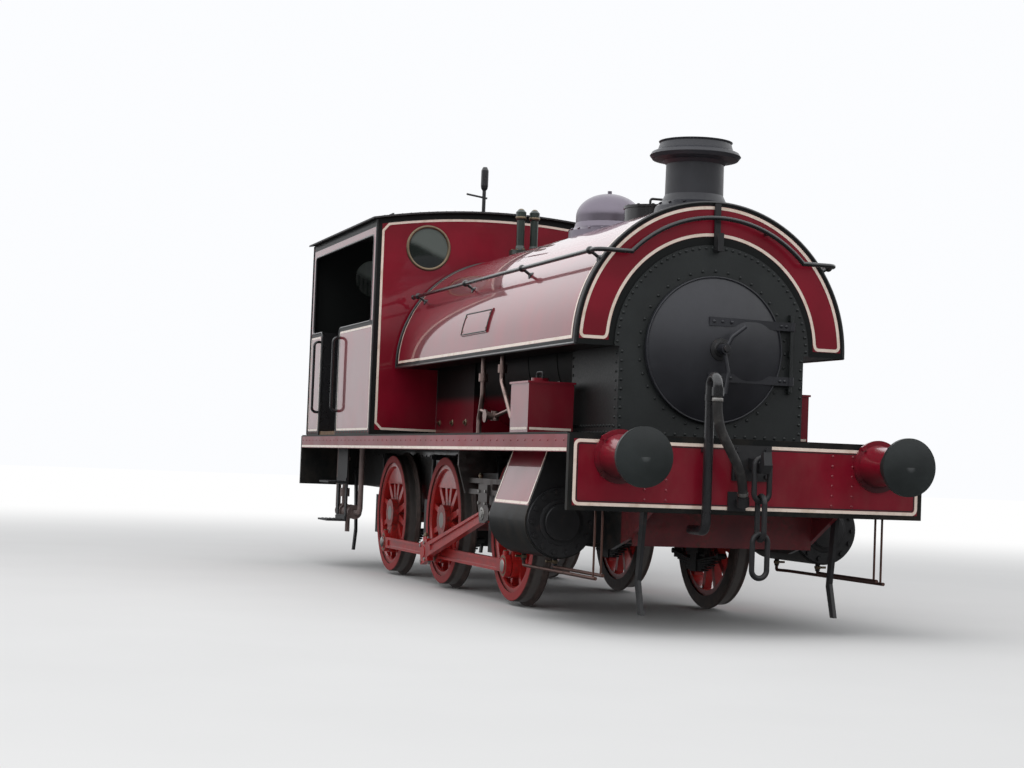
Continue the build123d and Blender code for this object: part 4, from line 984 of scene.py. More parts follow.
# %% Beads on the tank and cab
SUNK = 0.004
bead_low, bead_foot = TANK_BOTTOM + SUNK, FOOTPLATE + 0.006
lines = []
for x in (TANK_FRONT - SUNK, TANK_REAR + SUNK):
    arc, turns = tank_arc(TANK_RADIUS, x, low_angle(TANK_RADIUS, bead_low))
    lines.append(arc)
for side in (1, -1):
    y = side * sqrt(TANK_RADIUS ** 2 - (bead_low - TANK_CENTRE) ** 2)
    lines.append([(TANK_FRONT, y, bead_low), (TANK_REAR, y, bead_low)])
tubes("tank_beading", lines, 0.011, beading_black)

lines = []
for side in (1, -1):
    y = side * (CAB_HALF - 0.002)
    for x in (CAB_FRONT - SUNK, CAB_REAR + SUNK):
        lines.append([(x, y, bead_foot), (x, y, CAB_EAVE - 0.010)])
    y = side * (CAB_HALF - 0.006)
    front_post, rear_post = CAB_FRONT - 0.107, CAB_REAR + 0.107
    outline = ((DOOR_FRONT, bead_foot), (DOOR_FRONT, WAIST), (front_post, WAIST), (front_post, OPENING_TOP),
               (rear_post, OPENING_TOP), (rear_post, WAIST), (DOOR_REAR, WAIST), (DOOR_REAR, bead_foot))
    lines.append([(x, y, z) for x, z in outline])
tubes("cab_beading", lines, 0.010, beading_black, bend=0.05)
print("beads:", made_pieces[-2:], "pieces so far:", len(made_pieces))

# %% [markdown]
# ## Rivets on the smokebox and its door
# The smokebox front is held by one ring of rivets round the tank plate and one round the door, and its
# wrapper by rows along the saddle. Rivet heads are black like the plate, so they only show as small
# highlights, which is why they are real domes and not a texture.


# %% Copy a head onto many places
def fastener_tree(name, sides):
    """Heads on the points of a mesh, each turned along the point's own direction."""
    tree, source, result = new_tree(name, {"Radius": 0.012, "Height": 0.008})
    radius, height = source.outputs["Radius"], source.outputs["Height"]
    domed = sides > 8
    if domed:
        head = add_node(tree, "GeometryNodeMeshUVSphere", {
            "Segments": sides, "Rings": 6, "Radius": radius})
        flatness = add_node(tree, "ShaderNodeMath", {0: height, 1: radius}, {"operation": "DIVIDE"})
        scale = add_node(tree, "ShaderNodeCombineXYZ", {0: 1, 1: 1, 2: flatness.outputs[0]})
        shaped = add_node(tree, "GeometryNodeTransform", {
            "Geometry": head.outputs["Mesh"], "Scale": scale.outputs[0]})
    else:
        depth = add_node(tree, "ShaderNodeMath", {0: height, 1: 2}, {"operation": "MULTIPLY"})
        shaped = add_node(tree, "GeometryNodeMeshCylinder", {
            "Vertices": sides, "Radius": radius, "Depth": depth.outputs[0]})
    smooth = add_node(tree, "GeometryNodeSetShadeSmooth", {
        "Geometry": shaped.outputs[0], "Shade Smooth": domed})
    facing = add_node(tree, "GeometryNodeInputNamedAttribute", {"Name": "facing"},
                      {"data_type": "FLOAT_VECTOR"})
    turn = add_node(tree, "FunctionNodeAlignRotationToVector", {"Vector": facing.outputs["Attribute"]},
                    {"axis": "Z"})
    points = add_node(tree, "GeometryNodeMeshToPoints", {"Mesh": source.outputs["Geometry"]})
    copies = add_node(tree, "GeometryNodeInstanceOnPoints", {
        "Points": points.outputs["Points"], "Instance": smooth.outputs["Geometry"],
        "Rotation": turn.outputs["Rotation"]})
    return close_tree(tree, source, result, copies.outputs["Instances"])


RIVET, HEXAGON = fastener_tree("rivet heads", 10), fastener_tree("hexagon nuts", 6)


def fasten(name, spots, radius, height, material, tree=RIVET, body=LOCO, slot=None):
    """Put a fastener on each (place, direction) pair."""
    mesh = bpy.data.meshes.new(name)
    mesh.from_pydata([tuple(place) for place, facing in spots], [], [])
    facing = mesh.attributes.new("facing", "FLOAT_VECTOR", "POINT")
    for item, (place, direction) in zip(facing.data, spots):
        item.vector = Vector(direction).normalized()
    made = run_tree(name, mesh, tree, {"Radius": radius, "Height": height, "Finish": material})
    return finished(name, made, material, body, slot)


print("trees ready:", RIVET.name, HEXAGON.name)


# %% Rows and rings of places
def row(start, end, count, facing):
    start, end = Vector(start), Vector(end)
    return [(start.lerp(end, i / (count - 1)), facing) for i in range(count)]


def ring(centre, radius, count, axis, start=0.0, sweep=360.0):
    """Places on a circle about an axis, facing along it."""
    across, upward = (unit for unit, part in zip((X_AXIS, Y_AXIS, Z_AXIS), axis) if not part)
    spots = []
    for i in range(count):
        angle = radians(start + sweep * i / (count if sweep == 360.0 else count - 1))
        offset = across * (radius * cos(angle)) + upward * (radius * sin(angle))
        spots.append((Vector(centre) + offset, axis))
    return spots


print("quarter ring:", [tuple(round(v, 2) for v in place) for place, axis in ring((0, 0, 0), 1, 4, Z_AXIS)])

# %% Smokebox rivets
front = TANK_FRONT + 0.012
spots = ring((front, 0, BOILER_CENTRE), 0.666, 44, X_AXIS, start=2, sweep=176)
spots += row((front, -0.60, 1.235), (front, 0.60, 1.235), 18, X_AXIS)
spots += ring((front, 0, BOILER_CENTRE), 0.515, 36, X_AXIS)
for side in (-1, 1):
    y, out = side * 0.650, (0, side, 0)
    spots += row((front, side * 0.632, 1.270), (front, side * 0.632, 1.750), 9, X_AXIS)
    for x in (2.402, 3.216):
        spots += row((x, y, 1.270), (x, y, 1.740), 9, out)
    for z in (1.232, 1.275):
        spots += row((2.43, y, z), (3.19, y, z), 15, out)
fasten("smokebox_rivets", spots, 0.011, 0.007, smokebox_paint)
print("smokebox rivets:", len(spots))

# %% [markdown]
# ## Turned parts
# Caps, cups, rims and dials are round, because the real ones come off a lathe. A lathe part is drawn as half
# of its section, in pairs of distance along the axis and radius, and spun. One piece can hold many of them.


# %% Spin a profile
def lathe(bm, profile, origin, axis, segments=24):
    """Turn pairs of distance and radius about an axis through origin."""
    axis = Vector(axis).normalized()
    across = axis.orthogonal().normalized()
    other = axis.cross(across)
    rings = []
    for along, radius in profile:
        centre = Vector(origin) + axis * along
        if radius < 1e-6:
            rings.append([bm.verts.new(centre)])
        else:
            rings.append([bm.verts.new(centre + (across * cos(2 * pi * i / segments)
                                                 + other * sin(2 * pi * i / segments)) * radius)
                          for i in range(segments)])
    for low, high in zip(rings, rings[1:]):
        for i in range(segments):
            k = (i + 1) % segments
            corners = [low[i % len(low)], low[k % len(low)], high[k % len(high)], high[i % len(high)]]
            unique = list(dict.fromkeys(corners))
            if len(unique) > 2:
                bm.faces.new(unique)


def capped(*profile):
    """A profile closed to the axis at both of its ends."""
    return [(profile[0][0], 0), *profile, (profile[-1][0], 0)]


def turned_piece(name, profiles, material, body=LOCO, segments=24, smooth=40):
    """One mesh of many turned parts, each a profile, an origin and an axis."""
    bm = bmesh.new()
    for profile, origin, axis in profiles:
        lathe(bm, profile, origin, axis, segments)
    return finished(name, mesh_from(bm, name, smooth), material, body)


print("ready:", turned_piece.__name__)

# %% Fittings of the smokebox door
DOOR_BODY = "smokebox_door"
DOOR_TIP, DOOR_RIM_X, DOOR_RADIUS = 3.386, 3.291, 0.480
BALL = (0.468 ** 2 + 0.095 ** 2) / (2 * 0.095)


def door_face(y, dz):
    """Where the dished door's face lies at a distance from its centre."""
    return DOOR_TIP - (BALL - sqrt(BALL ** 2 - y ** 2 - dz ** 2))


spots = []
for dz in (-0.180, 0.180):
    strap = [(door_face(0, dz) + 0.009, y) for y in (-0.050, 0.010, 0.075)]
    strap += [(DOOR_RIM_X + 0.012, y) for y in (0.500, 0.465)]
    spots += [((x, y, BOILER_CENTRE + dz), X_AXIS) for x, y in strap]
fasten("door_strap_rivets", spots, 0.012, 0.008, door_paint, body=DOOR_BODY)
boss = capped((-0.004, 0.075), (0.006, 0.072), (0.010, 0.050), (0.018, 0.044))
end_nut = capped((0, 0.021), (0.004, 0.023), (0.012, 0.023), (0.016, 0.020))
fittings = [(profile, (DOOR_TIP + ahead, 0, BOILER_CENTRE), X_AXIS)
            for profile, ahead in ((boss, -0.001), (end_nut, 0.093))]
turned_piece("door_fittings", fittings, black_iron, DOOR_BODY)
rim_turns = [radians(6 * i) for i in range(60)]
rim_radius, rim_x = DOOR_RADIUS - 0.006, DOOR_RIM_X + 0.001
bead_ring = [(rim_x, rim_radius * cos(t), BOILER_CENTRE + rim_radius * sin(t)) for t in rim_turns]
tubes("door_rim_bead", [bead_ring], 0.007, door_paint, DOOR_BODY, closed=True, sides=8)
print("smokebox pieces:", made_pieces[-4:])

# %% [markdown]
# ## Beams, buffers and drawgear
# The beam is the locomotive's bumper, so everything on it is bolted through: hexagon nuts on the buffer
# bases and the hook plate, rivets where the frames meet it, and a collar where each buffer slides.

# %% Fittings on the beams
SHANK_COLLAR = [(0, 0.097), (0, 0.108), (0.006, 0.112), (0.026, 0.112), (0.030, 0.108), (0.030, 0.097)]
HEAD_STUD = capped((0, 0.030), (0.004, 0.030), (0.006, 0.022))
NUT_REACH = 0.112
frame_rivets, buffer_nuts, hook_nuts, collars = [], [], [], []
for end in (1, -1):
    face = end * BEAM_FACE
    for side in (-1, 1):
        for y in (0.560, 0.700):
            frame_rivets += row((face, side * y, 0.815), (face, side * y, 1.125), 6, (end, 0, 0))
        for dy in (-NUT_REACH, NUT_REACH):
            buffer_nuts += [((face + end * 0.026, side * BUFFER_Y + dy, BUFFER_Z + dz), (end, 0, 0))
                            for dz in (-NUT_REACH, NUT_REACH)]
        for profile, reach in ((SHANK_COLLAR, 0.238), (HEAD_STUD, 0.4245)):
            collars.append((profile, (face + end * reach, side * BUFFER_Y, BUFFER_Z), (end, 0, 0)))
    nut_x = face + end * 0.024
    for y in (-0.100, 0.100):
        hook_nuts += row((nut_x, y, 0.982), (nut_x, y, 1.142), 2, (end, 0, 0))
fasten("beam_rivets", frame_rivets, 0.010, 0.006, panel_paint)
fasten("buffer_nuts", buffer_nuts, 0.017, 0.011, stock_paint, HEXAGON)
fasten("hook_plate_nuts", hook_nuts, 0.018, 0.012, black_iron, HEXAGON)
turned_piece("buffer_collars", collars, buffer_black, segments=36)
dark_line = bmesh.new()
for end in (1, -1):
    line_beam(dark_line, end, 0.057, 0.02, 0.006)
finished("beam_fine_line", mesh_from(dark_line, "beam_fine_line"), beading_black)
print("beam pieces:", made_pieces[-5:])

# %% [markdown]
# ## Cylinders and motion
# Steam engines are held together by studs and nuts. The cylinder cover has a ring of them, and each rod has
# its bush, its oil cup and its cotter. A piece on a rod rides on that rod's body, so it moves with it, and
# it stays thin where another rod passes close by.

# %% Cylinder covers, drain cocks and slide bars
cover_nuts, cover_parts, bar_nuts, oil_cups = [], [], [], []
CUP = [(0, 0), (0, 0.013), (0.006, 0.013), (0.010, 0.017), (0.026, 0.017), (0.030, 0.012), (0.036, 0.010),
       (0.038, 0)]
COVER_RING = [(0, 0.150), (0.006, 0.148), (0.012, 0.130), (0.012, 0.121)]
COVER_DISC = [(0, 0.119), (0.005, 0.114), (0.008, 0.060), (0.008, 0)]
COCK_NUT = [(0, 0.018), (0.010, 0.022), (0.020, 0.022), (0.024, 0.018)]
COCK_PLUG = [(0, 0), (0, 0.008), (0.050, 0.008), (0.054, 0)]
FRONT_COVER, REAR_COVER, GLAND_FACE, STUD_CIRCLE = 3.095, 2.255, 2.196, 0.196
for side in SIDES.values():
    y = side * ROD_Y
    cover_nuts += ring((FRONT_COVER, y, CYLINDER_Z), STUD_CIRCLE, 14, X_AXIS)
    cover_nuts += ring((REAR_COVER, y, CYLINDER_Z), STUD_CIRCLE, 12, -X_AXIS, start=15)
    cover_nuts += [((GLAND_FACE, y + dy, CYLINDER_Z), -X_AXIS) for dy in (-0.054, 0.054)]
    cover_parts.append((COVER_RING, (3.0875, y, CYLINDER_Z), X_AXIS))
    cover_parts.append((COVER_DISC, (3.1215, y, CYLINDER_Z), X_AXIS))
    for x in (2.360, 2.990):
        oil_cups.append((COCK_NUT, (x, y, 0.372), Z_AXIS))
        oil_cups.append((COCK_PLUG, (x, y + side * 0.010, 0.385), (0, side, 0)))
    for x in (2.218, 2.246):
        bar_nuts += [((x, y + side * 0.028, z), (0, side, 0)) for z in (0.796, 0.870)]
    bar_nuts += [((1.045, y + side * 0.012, z), -X_AXIS) for z in (0.793, 0.873)]
    oil_cups += [(CUP, (x, y, 0.891), Z_AXIS) for x in (1.30, 1.90)]
fasten("cylinder_nuts", cover_nuts, 0.016, 0.009, black_iron, HEXAGON)
turned_piece("cylinder_cover_rings", cover_parts, black_iron, segments=40)
fasten("slide_bar_nuts", bar_nuts, 0.011, 0.005, steel, HEXAGON)
turned_piece("oil_cups_and_cocks", oil_cups, dull_brass, segments=18)
print("cylinder pieces:", made_pieces[-4:])

# %% [markdown]
# ## Keys and plates
# A cotter is a tapered key, driven through a rod to draw its bearing tight. Keys and plates are boxes with
# eased edges, so one helper makes them, with a matrix for those that lie along a sloping rod.


# %% A box with eased edges
def slab(bm, low, high, bevel=0.0, turn=None):
    """A box between two corners, with its edges eased, and turned by a matrix."""
    made = bmesh.ops.create_cube(bm, size=1)["verts"]
    size = Vector(high) - Vector(low)
    bmesh.ops.scale(bm, vec=size, verts=made)
    bmesh.ops.translate(bm, vec=(Vector(low) + Vector(high)) / 2, verts=made)
    if bevel:
        edges = {e for v in made for e in v.link_edges}
        rounded = bmesh.ops.bevel(bm, geom=list(edges), offset=bevel, segments=2, affect="EDGES")
        made = list({v for f in rounded["faces"] for v in f.verts} | {v for v in made if v.is_valid})
    if turn is not None:
        bmesh.ops.transform(bm, matrix=turn, verts=made)


def slab_piece(name, boxes, material, body=LOCO, bevel=0.002, turn=None):
    bm = bmesh.new()
    for low, high in boxes:
        slab(bm, low, high, bevel, turn)
    return finished(name, mesh_from(bm, name, 30), material, body)


print("ready:", slab_piece.__name__)


# %% Crossheads and connecting rods
PIN_CAP = capped((0, 0.050), (0.005, 0.048), (0.007, 0.030), (0.012, 0.028))
BIG_END_NUTS = ((-0.072, 0.064), (-0.072, -0.064), (0.036, 0.066), (0.036, -0.066))


def dress_crosshead(body, sign, pin_x):
    face, out = sign * 0.987, (0, sign, 0)
    turned_piece(body + "_pin_cap", [(PIN_CAP, (pin_x, face, CYLINDER_Z), out)], steel, body)
    spots = [((pin_x + x, face + sign * 0.004, z), out) for x in (-0.076, 0.076) for z in (0.715, 0.800)]
    fasten(body + "_bolts", spots, 0.013, 0.007, steel, HEXAGON, body)


def dress_connecting_rod(body, sign, to_rod):
    """Cotter, nuts and oil cup of the big end. to_rod turns level places onto the sloping rod."""
    y, out = sign * ROD_Y, (0, sign, 0)
    key = [((0.064 - ROD_LENGTH, y - 0.009, -0.112), (0.090 - ROD_LENGTH, y + 0.009, 0.108))]
    slab_piece(body + "_cotter", key, steel, body, 0.002, to_rod)
    spots = [(to_rod @ Vector((dx - ROD_LENGTH, sign * 0.968, dz)), out) for dx, dz in BIG_END_NUTS]
    fasten(body + "_nuts", spots, 0.015, 0.006, steel, HEXAGON, body)
    cup = (CUP, to_rod @ Vector((-ROD_LENGTH, y, 0.117)), to_rod.to_3x3() @ Z_AXIS)
    turned_piece(body + "_oil_cup", [cup], dull_brass, body)


print("nuts on each big end:", len(BIG_END_NUTS))


# %% Coupling rods, and all of the motion on both sides
BUSH = [(0, 0.0605), (0.0022, 0.0605), (0.0022, 0.074), (0, 0.074)]
OIL_LID = capped((0, 0.017), (0.005, 0.017), (0.008, 0.012))


def crank(side):
    """A side's crank pin from its axle, as x and z. The right crank points down and the left one forwards."""
    return (0.0, -CRANK_THROW) if side == "right" else (CRANK_THROW, 0.0)


def dress_coupling_rod(side, sign):
    body, out = "coupling_rod_" + side, (0, sign, 0)
    dx, dz = crank(side)
    pins = [(x + dx, AXLE_Z + dz) for x in AXLES.values()]
    bushes = [(BUSH, (x, sign * 0.8745, z), out) for x, z in pins]
    turned_piece(body + "_bushes", bushes, dull_brass, body, segments=36)
    lids = [(OIL_LID, (x, sign * 0.855, z + 0.1035), Z_AXIS) for x, z in pins]
    turned_piece(body + "_oil_lids", lids, dull_brass, body, segments=16)
    for name, height in (("front", 0.0040), ("rear", 0.014)):
        cap = capped((0, 0.044), (height * 0.7, 0.042), (height, 0.034))
        place = (AXLES[name] + dx, sign * 0.8815, AXLE_Z + dz)
        turned_piece(f"crank_pin_cap_{name}_{side}", [(cap, place, out)], steel, "wheelset_" + name)


for side, sign in SIDES.items():
    dx, dz = crank(side)
    drop = CYLINDER_Z - (AXLE_Z + dz)
    pin_x = AXLES["middle"] + dx + sqrt(ROD_LENGTH ** 2 - drop ** 2)
    to_rod = Matrix.Translation((pin_x, 0, CYLINDER_Z)) @ Matrix.Rotation(-asin(drop / ROD_LENGTH), 4, "Y")
    dress_crosshead("crosshead_" + side, sign, pin_x)
    dress_connecting_rod("connecting_rod_" + side, sign, to_rod)
    dress_coupling_rod(side, sign)
print("pieces so far:", len(made_pieces))

# %% [markdown]
# ## Frames, springs and brakes
# Most of the chassis hides behind the wheels, but light falls between the spokes, so the frame still needs
# its rivet rows, the stays under each axlebox and the pins that carry springs and brake hangers.

# %% Frame rivets, horn stays and pins
FRAME_FACE, FRAME_MIDDLE = 0.641, 0.626
spots, pins, stays = [], [], []
for side in (1, -1):
    y, middle, out = side * FRAME_FACE, side * FRAME_MIDDLE, (0, side, 0)
    for z in (1.045, 1.135):
        spots += row((-3.20, y, z), (3.60, y, z), 58, out)
    for x in AXLES.values():
        for dx in (-0.150, -0.132, 0.132, 0.150):
            spots += row((x + dx, y, 0.45), (x + dx, y, 0.66), 4, out)
        stays.append(((x - 0.165, middle - 0.022, 0.386), (x + 0.165, middle + 0.022, 0.404)))
        pins += [((x + dx, side * 0.651, 0.403), out) for dx in (-0.410, 0.410)]
        pins.append(((x - 0.586, side * 0.759, 1.035), out))
        pins += [((x + dx, middle, 0.384), -Z_AXIS) for dx in (-0.140, 0.140)]
    for z in (0.860, 0.890):
        pins += [((end * 3.805, side * 0.667, z), out) for end in (1, -1)]
fasten("frame_rivets", spots, 0.009, 0.005, black_iron)
fasten("spring_and_brake_pins", pins, 0.019, 0.007, black_iron, HEXAGON)
slab_piece("horn_stays", stays, black_iron)
print("chassis pieces:", made_pieces[-3:])

# %% [markdown]
# ## Cab windows
# Each round window has a turned brass rim held by screws. The rear pair also has upright guard bars, to
# keep coal and fire irons off the glass. Only the rim's section needs drawing, because a lathe does the rest.

# %% Window rims, screws and guard bars
RIM = [(-0.003, 0.172), (-0.003, 0.196), (0.004, 0.198), (0.009, 0.194), (0.011, 0.187), (0.010, 0.178),
       (0.006, 0.173), (-0.003, 0.172)]
RIM_RADIUS, SCREW_RADIUS, BAR_SPACING = 0.178, 0.187, 0.045
rims, screws, bars = [], [], []
for x, facing, y, z in ((CAB_FRONT, 1, 0.690, 2.840), (CAB_REAR, -1, 0.552, 2.780)):
    for side in (1, -1):
        rims.append((RIM, (x, side * y, z), X_AXIS * facing))
        screws += ring((x + facing * 0.0105, side * y, z), SCREW_RADIUS, 12, X_AXIS * facing, start=15)
        if facing < 0:
            for i in range(-3, 4):
                reach = sqrt(RIM_RADIUS ** 2 - (i * BAR_SPACING) ** 2)
                bar_y = side * y + i * BAR_SPACING
                bars.append([(x - 0.016, bar_y, z - reach), (x - 0.016, bar_y, z + reach)])
turned_piece("window_rims", rims, dull_brass, segments=48, smooth=50)
fasten("window_screws", screws, 0.005, 0.002, dull_brass)
tubes("window_guard_bars", bars, 0.006, black_iron, sides=8)
print("window pieces:", made_pieces[-3:])

# %% [markdown]
# ## Inside the cab
# The driver reads steam and vacuum from round dials on the front sheet, and works valves on the back of the
# boiler. The dials are blank here: a rim, a pale face and a needle say enough at this size. Copper pipes
# join a steam header to the injectors below.

# %% Dials
DIAL_X, HEADER_X, HEADER_Z, WHEEL_RADIUS = -1.327, -1.500, 2.215, 0.040
BACKWARDS = -X_AXIS
dial_rims, dial_faces, needles = [], [], []
for y, z, radius in ((-0.155, 2.560, 0.088), (0.110, 2.600, 0.075), (0.330, 2.520, 0.060)):
    place = Vector((DIAL_X, y, z))
    rim = [(0, 0), (0, radius), (0.030, radius), (0.036, radius * 0.94), (0.030, radius * 0.88)]
    dial_rims.append((rim, place, BACKWARDS))
    dial_faces.append(([(0.029, radius * 0.89), (0.029, 0)], place, BACKWARDS))
    needles.append(([(0.031, 0.010), (0.035, 0.008), (0.035, 0)], place, BACKWARDS))
    needles.append(([(0, 0.004), (radius * 0.7, 0.0015)], place - X_AXIS * 0.032, (0, 0.6, 0.8)))
turned_piece("cab_dial_rims", dial_rims, brass, segments=36)
turned_piece("cab_dial_faces", dial_faces, dial_white, segments=36)
turned_piece("cab_dial_needles", needles, beading_black, segments=10)
print("dials:", len(dial_faces))

# %% Steam header, handwheels and pipes
header = [(capped((0, 0.040), (0.560, 0.040)), (HEADER_X, -0.280, HEADER_Z), Y_AXIS)]
valve = capped((0, 0.020), (0.040, 0.020), (0.045, 0.010), (0.085, 0.010))
handwheels, spokes = [], []
for y in (-0.220, -0.075, 0.075, 0.220):
    header.append((valve, (HEADER_X - 0.035, y, HEADER_Z), BACKWARDS))
    rim = ring((HEADER_X - 0.122, y, HEADER_Z), WHEEL_RADIUS, 16, X_AXIS)
    handwheels.append([place for place, axis in rim])
    middle = Vector((HEADER_X - 0.120, y, HEADER_Z))
    spokes += [[middle - way * WHEEL_RADIUS, middle + way * WHEEL_RADIUS] for way in (Y_AXIS, Z_AXIS)]
turned_piece("steam_header", header, brass, segments=20)
tubes("handwheel_rims", handwheels, 0.006, black_iron, closed=True, sides=8)
tubes("handwheel_spokes", spokes, 0.004, black_iron, sides=6)
feed = [[(HEADER_X, side * 0.220, 2.180), (HEADER_X, side * 0.220, 1.900),
         (-1.455, side * 0.440, 1.700), (-1.455, side * 0.440, 1.262)] for side in (-1, 1)]
feed.append([(-1.345, -0.155, 2.475), (-1.345, -0.155, 2.420), (-1.470, -0.075, 2.330),
             (HEADER_X, -0.075, 2.245)])
tubes("backhead_pipes", feed, 0.011, copper, bend=0.06)
latch = [[(-1.470, 0.120, 1.530), (-1.500, 0.170, 1.530), (-1.500, 0.260, 1.590)]]
tubes("fire_door_latch", latch, 0.009, steel, bend=0.02)
print("cab pieces:", made_pieces[-8:])

# %% [markdown]
# ## Roof, tank and boiler fittings
# Bolts ring every mounting on the tank, and their heads face outwards and up as the skirt slopes. Screws
# close the boiler bands, and brass plugs in the firebox sides come out when it is washed.

# %% Mounting bolts and valve caps
def skirt_bolts(x, radius, height, count):
    """Bolts round a sloping skirt on the tank's crown."""
    spots = []
    for i in range(count):
        angle = 2 * pi * (i + 0.5) / count
        spots.append(((x + radius * cos(angle), radius * sin(angle), TANK_CROWN + height),
                      (cos(angle), sin(angle), 1.1)))
    return spots


VALVE_X, LID_X = -0.700, 2.100
valve_ring = ring((VALVE_X, 0, TANK_CROWN + 0.049), 0.126, 12, Z_AXIS)
lid_ring = ring((LID_X, 0, 2.857), 0.172, 10, Z_AXIS, start=18)
fasten("dome_bolts", skirt_bolts(1.250, 0.290, 0.010, 18), 0.011, 0.008, dome_metal, HEXAGON)
fasten("chimney_bolts", skirt_bolts(2.860, 0.240, 0.024, 14), 0.011, 0.008, door_paint, HEXAGON)
fasten("valve_bolts", valve_ring, 0.012, 0.008, dull_brass, HEXAGON)
caps = []
for y in (-0.060, 0.060):
    collar = capped((0, 0.045), (0.004, 0.047), (0.014, 0.047), (0.018, 0.045))
    caps.append((collar, (VALVE_X, y, 3.072), Z_AXIS))
    caps.append(([(0, 0.026), (0.003, 0.024), (0.010, 0.012), (0.010, 0)], (VALVE_X, y, 3.149), Z_AXIS))
turned_piece("valve_caps", caps, dull_brass)
fasten("lid_bolts", lid_ring, 0.010, 0.006, black_iron, HEXAGON, "tank_filler_lid")
print("crown fittings:", made_pieces[-5:])

# %% Handrail feet and roof rivets
FOOT = [(0, 0), (0, 0.028), (0.005, 0.028), (0.010, 0.020), (0.018, 0.012)]
RAIL_ANGLE = 34.5
HATCH_BEAMS, HATCH_HALF, ROOF_SKIN, RIVET_PITCH = (-2.140, -3.010), 0.34, 0.0145, 0.078


def slope(side, angle):
    """A direction out to one side, so many degrees above the level."""
    return Vector((0, side * cos(radians(angle)), sin(radians(angle))))


feet = []
for x in (3.190, 1.800, 0.400, -1.000):
    for side in (1, -1):
        away = slope(side, RAIL_ANGLE)
        place = Vector((x, 0, TANK_CENTRE)) + away * (TANK_RADIUS - 0.001)
        feet.append((FOOT, place, away))
turned_piece("handrail_feet", feet, black_gloss)
spots = []
for x in (CAB_FRONT + 0.020, *HATCH_BEAMS, CAB_REAR - 0.020):
    for i in range(-14, 15):
        y = i * RIVET_PITCH
        away = Vector((0, y, roof_height(y) - ROOF_CENTRE)).normalized()
        if abs(y) < HATCH_HALF and x in HATCH_BEAMS:
            continue
        spots.append((Vector((x, 0, ROOF_CENTRE)) + away * (ROOF_RADIUS + ROOF_SKIN), away))
fasten("roof_rivets", spots, 0.008, 0.004, roof_paint)
print("roof rivets:", len(spots))

# %% Hatch handle, washout plugs and band screws
PLUG = [(-0.004, 0.030), (0.004, 0.030), (0.008, 0.024), (0.008, 0.014), (0.022, 0.014), (0.022, 0)]
FIREBOX_HALF, PLUG_Z, BAND_RADIUS, BAND_ANGLE = 0.560, 1.330, 0.550, -20
hatch = [(-2.300, y, z) for y, z in ((-0.100, 3.214), (-0.100, 3.250), (0.100, 3.250), (0.100, 3.214))]
tubes("hatch_handle", [hatch], 0.009, black_iron, bend=0.02)
plugs, band_screws = [], []
for side in (1, -1):
    plugs += [(PLUG, (x, side * FIREBOX_HALF, PLUG_Z), (0, side, 0)) for x in (-0.420, -0.810, -1.200)]
    for x in (0.4375, 1.085, 1.7325):
        away = slope(side, BAND_ANGLE)
        for dx in (-0.012, 0.012):
            band_screws.append((Vector((x + dx, 0, BOILER_CENTRE)) + away * BAND_RADIUS, away))
turned_piece("washout_plugs", plugs, dull_brass, segments=18)
fasten("band_screws", band_screws, 0.007, 0.005, steel)
print("fittings:", made_pieces[-5:])

# %% [markdown]
# ## Sheets, steps and plates
# Thin sheets are riveted to hidden angle irons, so their rivets run in lines just inside the edges. Steps get
# raised studs for grip, and the blank plate on the tank a black border bent to the tank's curve, held by
# brass screws.

# %% Sheet rivets and step studs
spots = []
for side in (1, -1):
    out = (0, side, 0)
    for x in (CAB_FRONT - 0.022, CAB_REAR + 0.022):
        spots += row((x, side * CAB_HALF, 1.260), (x, side * CAB_HALF, 3.020), 24, out)
    spots += row((-3.800, side * BEAM_HALF, 1.160), (3.800, side * BEAM_HALF, 1.160), 52, out)
    for x0, x1 in ((DOOR_FRONT + 0.04, CAB_FRONT - 0.05), (CAB_REAR + 0.05, DOOR_REAR - 0.04)):
        spots += row((x0, side * CAB_HALF, 1.232), (x1, side * CAB_HALF, 1.232), 13 if x1 > -2 else 6, out)
fasten("sheet_rivets", spots, 0.007, 0.004, panel_paint, slot="crimson_paint")
STEP_X, STEP_Y, TREADS, STUD_PITCH = -3.020, 1.040, (0.438, 0.788), (0.034, 0.036)
studs = []
for side in (1, -1):
    for z in TREADS:
        for i in range(11):
            for k in range(4):
                studs.append(((STEP_X + STUD_PITCH[0] * i, side * (STEP_Y + STUD_PITCH[1] * k), z), Z_AXIS))
fasten("step_studs", studs, 0.008, 0.004, black_iron)
print("rivets and studs:", made_pieces[-2:])


# %% Plate border, its screws and the sandbox handles
def on_tank_side(x, z, lift):
    return Vector((x, -sqrt((TANK_RADIUS + lift) ** 2 - (z - TANK_CENTRE) ** 2), z))


PLATE_X, PLATE_Z = (0.650, 1.290), (1.970, 2.130)
border = []
corners = [(PLATE_X[i], PLATE_Z[k]) for i, k in ((0, 0), (1, 0), (1, 1), (0, 1))]
for (xa, za), (xb, zb) in zip(corners, corners[1:] + corners[:1]):
    border += [on_tank_side(xa + (xb - xa) * i / 8, za + (zb - za) * i / 8, 0.010) for i in range(8)]
tubes("plate_border", [border], 0.005, beading_black, closed=True, sides=8)
spots = []
for x in (0.675, 1.265):
    for z in (1.995, 2.105):
        place = on_tank_side(x, z, 0.0095)
        spots.append((place, (0, place.y, place.z - TANK_CENTRE)))
fasten("plate_screws", spots, 0.008, 0.004, dull_brass)
lines = []
for side in (1, -1):
    y = side * 0.890
    lines.append([(2.350, y, 1.588), (2.350, y, 1.632), (2.470, y, 1.632), (2.470, y, 1.588)])
tubes("sandbox_handles", lines, 0.008, black_iron, bend=0.02)
print("sheet pieces:", made_pieces[-5:])
